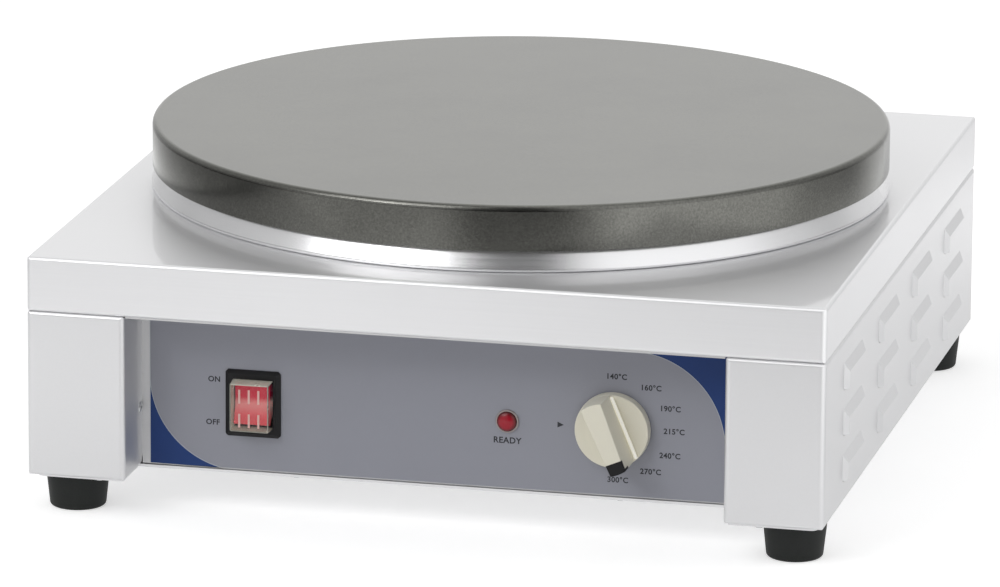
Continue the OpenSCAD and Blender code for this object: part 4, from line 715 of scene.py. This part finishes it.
class CREPE_OT_stage(bpy.types.Operator):
    """Adds the camera, the floor, the sky and the lamps"""
    bl_idname = "crepe.stage"
    bl_label = "Stage"

    def execute(self, context):
        stage = context.scene.crepe_stage
        deselect()
        right, up = Vector(CAMERA_RIGHT), Vector(CAMERA_UP)
        bpy.ops.object.camera_add()
        camera = bpy.context.object
        camera.name = "camera"
        turn = Matrix((right, up, right.cross(up))).transposed().to_4x4()
        camera.matrix_world = Matrix.Translation(CAMERA_PLACE) @ turn
        camera.data.sensor_width = 36.0
        camera.data.lens = stage.lens
        camera.data.clip_end = 100.0
        context.scene.camera = camera
        floor = begin("floor", bpy.ops.mesh.primitive_plane_add, size=FLOOR_SIZE)
        floor.data.materials.append(self.floor_material(stage))
        self.sky(context, stage)
        self.lamp("key_lamp", *KEY_LAMP, stage.key)
        self.lamp("fill_lamp", *FILL_LAMP, stage.fill).visible_glossy = False
        self.lamp("glint_lamp", *GLINT_LAMP, stage.glint)
        context.scene.view_settings.view_transform = "Standard"
        return {"FINISHED"}

    def math(self, tree, operation, a, b=0.0):
        """Adds a Math node and returns its result."""
        return put(tree, "Math", {0: a, 1: b}, operation=operation).outputs[0]

    def turn(self, tree, where):
        """The angle of a direction round the object, from 0 at the front."""
        parts = put(tree, "SeparateXYZ", {"Vector": where})
        ahead = self.math(tree, "MULTIPLY", parts.outputs["Y"], -1.0)
        return self.math(tree, "ARCTAN2", parts.outputs["X"], ahead)

    def walls(self, tree, where, stage):
        """How bright the studio is in each direction round the object, for metal to reflect."""
        place = put(tree, "MapRange", {"Value": self.turn(tree, where), "From Min": -math.pi,
                                       "From Max": math.pi})
        ramp = put(tree, "ValToRGB", {"Fac": place.outputs[0]})
        ramp.color_ramp.interpolation = "EASE"
        points = ramp.color_ramp.elements
        for azimuth, level in STUDIO_WALLS[1:-1]:
            points.new((azimuth + 180) / 360)
        for point, (azimuth, level) in zip(points, STUDIO_WALLS):
            level = stage.gap if level is None else level
            point.position = (azimuth + 180) / 360
            point.color = (level, level, level, 1)
        return ramp.outputs["Color"]

    def views(self, tree, walls):
        """Whether metal is looking, and the level seen: the walls' for metal, 1 for the camera and glass."""
        path = put(tree, "LightPath")
        seen = self.math(tree, "MAXIMUM", path.outputs["Is Camera Ray"], path.outputs["Is Transmission Ray"])
        glossy = self.math(tree, "MULTIPLY", path.outputs["Is Glossy Ray"], walls)
        return path.outputs["Is Glossy Ray"], self.math(tree, "MAXIMUM", seen, glossy)

    def card(self, tree, where, card, rest=1.0):
        """The level of a soft round card on the floor, and rest outside it."""
        place, inner, outer, level = card
        away = put(tree, "VectorMath", {0: where, 1: place}, operation="DISTANCE").outputs["Value"]
        return put(tree, "MapRange", {"Value": away, "From Min": inner, "From Max": outer, "To Min": level,
                                      "To Max": rest}).outputs[0]

    def floor_material(self, stage):
        """A pale floor for the eye, and a floor with cards and walls for metal."""
        made = bpy.data.materials.new("studio_floor")
        made.use_nodes = True
        tree = made.node_tree
        principled = tree.nodes["Principled BSDF"]
        principled.inputs["Roughness"].default_value = 0.9
        principled.inputs["Specular IOR Level"].default_value = 0.0
        principled.inputs["Emission Color"].default_value = (1, 1, 1, 1)
        where = put(tree, "TexCoord").outputs["Object"]
        reach = put(tree, "VectorMath", {0: where}, operation="LENGTH").outputs["Value"]
        far = put(tree, "MapRange", {"Value": reach, "From Min": WALLS_FROM, "From Max": WALLS_TO}).outputs[0]
        near = put(tree, "MapRange", {"Value": reach, "From Min": NEAR_FROM, "From Max": NEAR_TO,
                                      "To Min": stage.shade, "To Max": NEAR_LEVEL}).outputs[0]
        shaded = self.math(tree, "MULTIPLY", near, self.card(tree, where, DARK_CARD))
        close = self.math(tree, "MULTIPLY", shaded, self.card(tree, where, BRIGHT_CARD))
        walls = put(tree, "Mix", {0: far, 6: close, 7: self.walls(tree, where, stage)}, data_type="RGBA")
        glossy, level = self.views(tree, walls.outputs[2])
        lift = self.math(tree, "MULTIPLY", level, stage.floor_glow)
        pale = (0.8, 0.8, 0.8, 1)
        shown = put(tree, "Mix", {0: glossy, 6: pale, 7: walls.outputs[2]}, data_type="RGBA")
        tree.links.new(shown.outputs[2], principled.inputs["Base Color"])
        tree.links.new(lift, principled.inputs["Emission Strength"])
        return made

    def sky(self, context, stage):
        """Even light for plain surfaces, and the studio's walls and ceiling for metal."""
        world = bpy.data.worlds.new("studio_sky")
        context.scene.world = world
        world.use_nodes = True
        tree = world.node_tree
        where = put(tree, "TexCoord").outputs["Generated"]
        past = self.math(tree, "SUBTRACT", self.turn(tree, where), math.radians(STRIP_ANGLE))
        ceiling = put(tree, "MapRange", {
            "Value": self.math(tree, "ABSOLUTE", past), "From Min": math.radians(STRIP_FROM),
            "From Max": math.radians(STRIP_TO), "To Min": CEILING_STRIP, "To Max": CEILING}).outputs[0]
        rise = put(tree, "SeparateXYZ", {"Vector": where}).outputs["Z"]
        high = put(tree, "MapRange", {"Value": rise, "From Min": CEILING_LOW, "From Max": CEILING_HIGH,
                                      "To Max": ceiling}).outputs[0]
        white = (1, 1, 1, 1)
        walls = put(tree, "Mix", {0: high, 6: self.walls(tree, where, stage), 7: white}, data_type="RGBA")
        glossy, level = self.views(tree, walls.outputs[2])
        strength = self.math(tree, "MAXIMUM", level, self.math(
            tree, "MULTIPLY", self.math(tree, "SUBTRACT", 1.0, glossy), stage.sky))
        tree.nodes["Background"].inputs["Color"].default_value = white
        tree.links.new(strength, tree.nodes["Background"].inputs["Strength"])

    def lamp(self, name, place, size, power):
        """Adds a square lamp that looks at the object."""
        deselect()
        bpy.ops.object.light_add(type="AREA", location=place)
        made = bpy.context.object
        made.name = name
        made.data.size = size
        made.data.energy = power
        aim = Vector(LAMP_AIM) - Vector(place)
        made.rotation_euler = aim.to_track_quat("-Z", "Y").to_euler()
        return made


class CREPE_OT_body(bpy.types.Operator):
    """Finishes the folded body, the collar and the hot plate"""
    bl_idname = "crepe.body"
    bl_label = "Body and hot plate"

    def execute(self, context):
        coat(finishes["steel_across"], "top_cover", "rear_panel", "base_plate")
        # The control panel's bare margins get the darker steel, painted shade for the recess
        coat(finishes["steel_recess_painted_shade"], "control_panel")
        coat(finishes["steel_along"], "left_side_panel", "right_side_panel")
        coat(finishes["steel_drawn"], "collar_ring")
        coat(finishes["cast_iron"], "hot_plate")
        coat(finishes["zinc_sheet"], "front_rail", "rear_rail", "element_clamp_plate", "insulation_pan",
             "bulb_clip")
        return {"FINISHED"}


class CREPE_OT_fasteners(bpy.types.Operator):
    """Finishes the screws, nuts, studs and rivets"""
    bl_idname = "crepe.fasteners"
    bl_label = "Fasteners"

    def execute(self, context):
        coat(finishes["zinc_plate"], "collar_screws", "plate_studs", "stud_nuts", "frame_screws",
             "frame_nuts", "rear_screws", "base_screws", "panel_screws", "panel_rivets", "thermostat_screws",
             "thermostat_shaft", "terminal_screws", "block_screws", "foot_screws", "foot_nuts",
             "bulb_clip_screw")
        coat(finishes["brass"], "earth_screw", "switch_terminals", "thermostat_terminals")
        return {"FINISHED"}


class CREPE_OT_inner_parts(bpy.types.Operator):
    """Finishes the heating stack, the thermostat and the wiring"""
    bl_idname = "crepe.inner_parts"
    bl_label = "Inner parts"

    def execute(self, context):
        coat(finishes["element_steel"], "heating_element")
        coat(finishes["mineral_fibre"], "insulation_pad")
        coat(finishes["copper"], "sensor_bulb", "capillary_tube")
        coat(finishes["pale_plastic"], "thermostat_body", "terminal_block")
        for lead, finish_name in {"supply_leads": "lead_brown_blue", "earth_lead": "lead_earth",
                                  "element_leads": "lead_white", "switch_lead": "lead_black",
                                  "lamp_leads": "lead_grey"}.items():
            coat(finishes[finish_name], lead)
        return {"FINISHED"}


class CREPE_OT_overlay(bpy.types.Operator):
    """Prints the overlay: corner fields, words and the dial's marks"""
    bl_idname = "crepe.overlay"
    bl_label = "Overlay print"

    def execute(self, context):
        sizes = context.scene.crepe_sizes
        coat(finishes["overlay_grey"], "panel_overlay")
        rise = Vector((0, -2 * sizes.print_height, 0))
        low, high = OVERLAY_LOW, OVERLAY_HIGH
        width = sizes.line_width
        radius = sizes.field_radius
        lower = arc((low.x + radius, low.z + LOWER_ARC_HEIGHT), radius, *LOWER_SWEEP, ARC_STEPS)
        lower = [(low.x, lower[0][1]), *lower[1:], self.run_on(lower[-2], lower[-1], 1, low.z)]
        centre = (high.x - UPPER_ARC_INSET, high.z - UPPER_ARC_DROP)
        upper = arc(centre, radius, *UPPER_SWEEP, ARC_STEPS)
        upper = [self.run_on(upper[1], upper[0], 0, high.x), *upper,
                 self.run_on(upper[-2], upper[-1], 1, high.z)]
        fields = {"lower_left": ((low.x, low.z), lower), "upper_right": ((high.x, high.z), upper)}
        for name, (corner, edge) in fields.items():
            field = slab("corner_field_" + name, on_face([corner] + edge, sizes.print_height), rise)
            finish(shade(field), "machine", "overlay_print", finishes["overlay_blue"])
            inner = self.beside(edge, width)
            line = slab("corner_line_" + name, on_face(edge + inner[::-1], sizes.print_height),
                        rise * LINE_LAYER)
            finish(shade(line), "machine", "overlay_print", finishes["print_white"])
        for name, x in {"left": low.x, "right": high.x - width}.items():
            edge = slab("edge_line_" + name, on_face(
                [(x, low.z), (x + width, low.z), (x + width, high.z), (x, high.z)],
                sizes.print_height), rise * EDGE_LAYER)
            finish(shade(edge), "machine", "overlay_print", finishes["print_white"])
        for name, text, control, across, up, scale in PRINTED:
            self.word(name, text, control.x + across * MM, control.z + up * MM, sizes.cap_height * scale)
        x, z = KNOB.x - ARROW_OFFSET, KNOB.z
        arrow = slab("dial_arrow", on_face(
            [(x - ARROW_REACH, z + ARROW_RISE), (x - ARROW_REACH, z - ARROW_RISE), (x + ARROW_REACH, z)],
            sizes.print_height), rise)
        finish(shade(arrow), "machine", "overlay_print", finishes["print_ink"])
        return {"FINISHED"}

    def run_on(self, before, last, axis, value):
        """Runs the line through two points on until one coordinate reaches a value."""
        share = (value - last[axis]) / (last[axis] - before[axis])
        return tuple(b + (b - a) * share for a, b in zip(before, last))

    def beside(self, edge, width):
        """The same edge moved sideways by a width, to the left of its course."""
        moved = []
        for i, (x, z) in enumerate(edge):
            (xa, za), (xb, zb) = edge[max(i - 1, 0)], edge[min(i + 1, len(edge) - 1)]
            length = math.hypot(xb - xa, zb - za)
            moved.append((x - (zb - za) / length * width, z + (xb - xa) / length * width))
        return moved

    def word(self, name, text, x, z, cap):
        """Prints a word with its centre at x and z."""
        sizes = bpy.context.scene.crepe_sizes
        deselect()
        bpy.ops.object.text_add(rotation=(math.pi / 2, 0, 0))
        piece = bpy.context.object
        piece.data.body = text
        piece.data.align_x = "CENTER"
        piece.data.align_y = "CENTER"
        piece.data.size = cap * FONT_SIZE
        piece.data.offset = cap * LETTER_WEIGHT
        piece.data.space_character = LETTER_SPACING
        piece.data.extrude = sizes.print_height
        piece.data.resolution_u = 4
        piece.location = (x, FACE_Y, z)
        bpy.ops.object.convert(target="MESH")
        piece = bpy.context.object
        piece.name = piece.data.name = name
        bpy.ops.object.transform_apply(location=True, rotation=True, scale=True)
        tidy_normals(piece, 1e-7)
        finish(shade(piece), "machine", "overlay_print", finishes["print_ink"])


class CREPE_OT_switch(bpy.types.Operator):
    """Finishes the switch, and models its clear cover with its ribs"""
    bl_idname = "crepe.switch"
    bl_label = "Switch"

    def execute(self, context):
        coat(finishes["black_plastic"], "switch_housing")
        coat(finishes["red_rocker"], "switch_rocker")
        self.cover()
        self.ribs(context.scene.crepe_sizes)
        return {"FINISHED"}

    def cover(self):
        """A clear box whose top and sides lean in. Its front and its right wall are the clearest; the other
        walls are greyer, with a faint glow that is painted light.
        """
        low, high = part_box("switch_cover")
        piece = box("clear_cover", low, high)
        edit(piece, "FACE")
        pick(piece, "FACE", lambda f: f.normal.y > 0.9)
        bpy.ops.mesh.delete(type="FACE")
        pick(piece, "VERT", lambda v: v.co.y < low.y + MM and v.co.z > high.z - MM)
        bpy.ops.transform.translate(value=(0, 0, -COVER_TOP_LEAN))
        for side, place in ((1, low.x), (-1, high.x)):
            pick(piece, "VERT", lambda v: v.co.y < low.y + MM and abs(v.co.x - place) < MM)
            bpy.ops.transform.translate(value=(side * COVER_SIDE_LEAN, 0, 0))
        pick(piece, "EDGE", lambda e: abs(e.verts[0].co.y - e.verts[1].co.y) > MM
             or max(v.co.y for v in e.verts) < low.y + MM)
        bpy.ops.mesh.bevel(offset=COVER_ROUND, segments=4, affect="EDGES")
        leave(piece)
        tidy_normals(piece)
        use(piece, "SOLIDIFY", thickness=COVER_WALL, offset=-1)
        finish(shade(piece), "machine", "clear_plastic", finishes["clear_cover"], "switch_cover")
        piece.data.materials.append(finishes["clear_wall_painted_glow"])
        edit(piece, "FACE")
        pick(piece, "FACE", lambda f: abs(f.normal.y) < 0.95
             and not (abs(f.normal.x) > 0.9 and f.calc_center_median().x > high.x - 2 * MM))
        piece.active_material_index = 1
        bpy.ops.object.material_slot_assign()
        leave(piece)

    def ribs(self, sizes):
        """Six light ribs on the cover's front, three over each half of the rocker."""
        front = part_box("switch_cover")[0].y
        size = Vector((sizes.rib_width, RIB_DEPTH, sizes.rib_length)) / 2
        first = box("cover_rib", -size, size)
        edit(first, "EDGE")
        pick(first, "EDGE", lambda e: max(v.co.y for v in e.verts) < 0)
        bpy.ops.mesh.bevel(offset=RIB_ROUND, segments=2, affect="EDGES")
        shade(leave(first))
        for name, z in RIB_ROWS.items():
            for i in (-1, 0, 1):
                piece = first.copy()
                piece.data = first.data.copy()
                bpy.context.scene.collection.objects.link(piece)
                piece.name = piece.data.name = "cover_rib_%s_%d" % (name, i + 2)
                piece.location = (SWITCH.x + i * RIB_STEP, front, SWITCH.z + z)
                activate(piece)
                bpy.ops.object.transform_apply(location=True, rotation=True, scale=True)
                finish(piece, "machine", "clear_plastic", finishes["cover_ribs"])
        bpy.data.objects.remove(first)


class CREPE_OT_lamp(bpy.types.Operator):
    """Finishes the pilot lamp"""
    bl_idname = "crepe.lamp"
    bl_label = "Pilot lamp"

    def execute(self, context):
        coat(finishes["lamp_ring"], "lamp_bezel")
        coat(finishes["red_lens"], "lamp_lens")
        return {"FINISHED"}


class CREPE_OT_knob(bpy.types.Operator):
    """Finishes the thermostat knob and its pointer"""
    bl_idname = "crepe.knob"
    bl_label = "Thermostat knob"

    def execute(self, context):
        coat(finishes["cream_plastic"], "control_knob")
        coat(finishes["black_plastic"], "knob_pointer")
        self.beads(context.scene.crepe_sizes)
        return {"FINISHED"}

    def beads(self, sizes):
        """Two rounded beads on the plinth, one along each side of the grip bar."""
        low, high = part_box("control_knob")
        radius = (high.x - low.x) / 2
        turn = math.radians(KNOB_ANGLE)
        along = Vector((math.sin(turn), 0, math.cos(turn)))
        side = Vector((math.cos(turn), 0, -math.sin(turn)))
        forward = Vector((0, -1, 0))
        face = Vector((KNOB.x, FACE_Y - PLINTH_HEIGHT, KNOB.z))
        reach = math.sqrt((radius - BEAD_INSET) ** 2 - BEAD_OFFSET ** 2)
        angles = [math.pi * i / BEAD_STEPS for i in range(BEAD_STEPS + 1)]
        for name, sign in (("right", -1), ("left", 1)):
            start = face + side * sign * BEAD_OFFSET - along * reach
            profile = [start + side * sizes.bead_radius * math.cos(a)
                       + forward * sizes.bead_radius * math.sin(a) for a in angles]
            bead = slab("knob_bead_" + name, profile, along * 2 * reach)
            # Their lighter, glowing finish is a painted highlight
            finish(shade(bead), "knob", "cream_plastic", finishes["bead_painted_highlight"])


class CREPE_OT_rubber_and_gland(bpy.types.Operator):
    """Finishes the rubber feet and the cable gland"""
    bl_idname = "crepe.rubber_and_gland"
    bl_label = "Feet and cable gland"

    def execute(self, context):
        coat(finishes["foot_rubber"], "front_left_foot", "front_right_foot", "rear_left_foot",
             "rear_right_foot")
        coat(finishes["black_plastic"], "cable_gland", "gland_cap", "gland_nut")
        return {"FINISHED"}


class CREPE_PT_panel(bpy.types.Panel):
    """Lists the crepe maker's operators and settings"""
    bl_label = "Crepe Maker"
    bl_idname = "CREPE_PT_panel"
    bl_space_type = "VIEW_3D"
    bl_region_type = "UI"
    bl_category = "Crepe Maker"

    def draw(self, context):
        for operator in OPERATORS:
            self.layout.operator(operator.bl_idname)
        for group in (context.scene.crepe_sizes, context.scene.crepe_colours, context.scene.crepe_stage):
            for key in group.__annotations__:
                self.layout.prop(group, key)


SETTINGS = {"crepe_sizes": CrepeSizes, "crepe_colours": CrepeColours, "crepe_stage": CrepeStage}
OPERATORS = (
    CREPE_OT_stage, CREPE_OT_body, CREPE_OT_fasteners, CREPE_OT_inner_parts, CREPE_OT_overlay,
    CREPE_OT_switch, CREPE_OT_lamp, CREPE_OT_knob, CREPE_OT_rubber_and_gland,
)


def register():
    for each in (*SETTINGS.values(), *OPERATORS, CREPE_PT_panel):
        bpy.utils.register_class(each)
    for name, kind in SETTINGS.items():
        setattr(bpy.types.Scene, name, bpy.props.PointerProperty(type=kind))


def unregister():
    for name in SETTINGS:
        delattr(bpy.types.Scene, name)
    for each in reversed((*SETTINGS.values(), *OPERATORS, CREPE_PT_panel)):
        bpy.utils.unregister_class(each)


def main():
    register()
    make_finishes()
    for operator in OPERATORS:
        space, name = operator.bl_idname.split(".")
        result = getattr(getattr(bpy.ops, space), name)()
        if result != {"FINISHED"}:
            raise RuntimeError(operator.bl_label + " didn't finish")


if __name__ == "__main__":
    main()
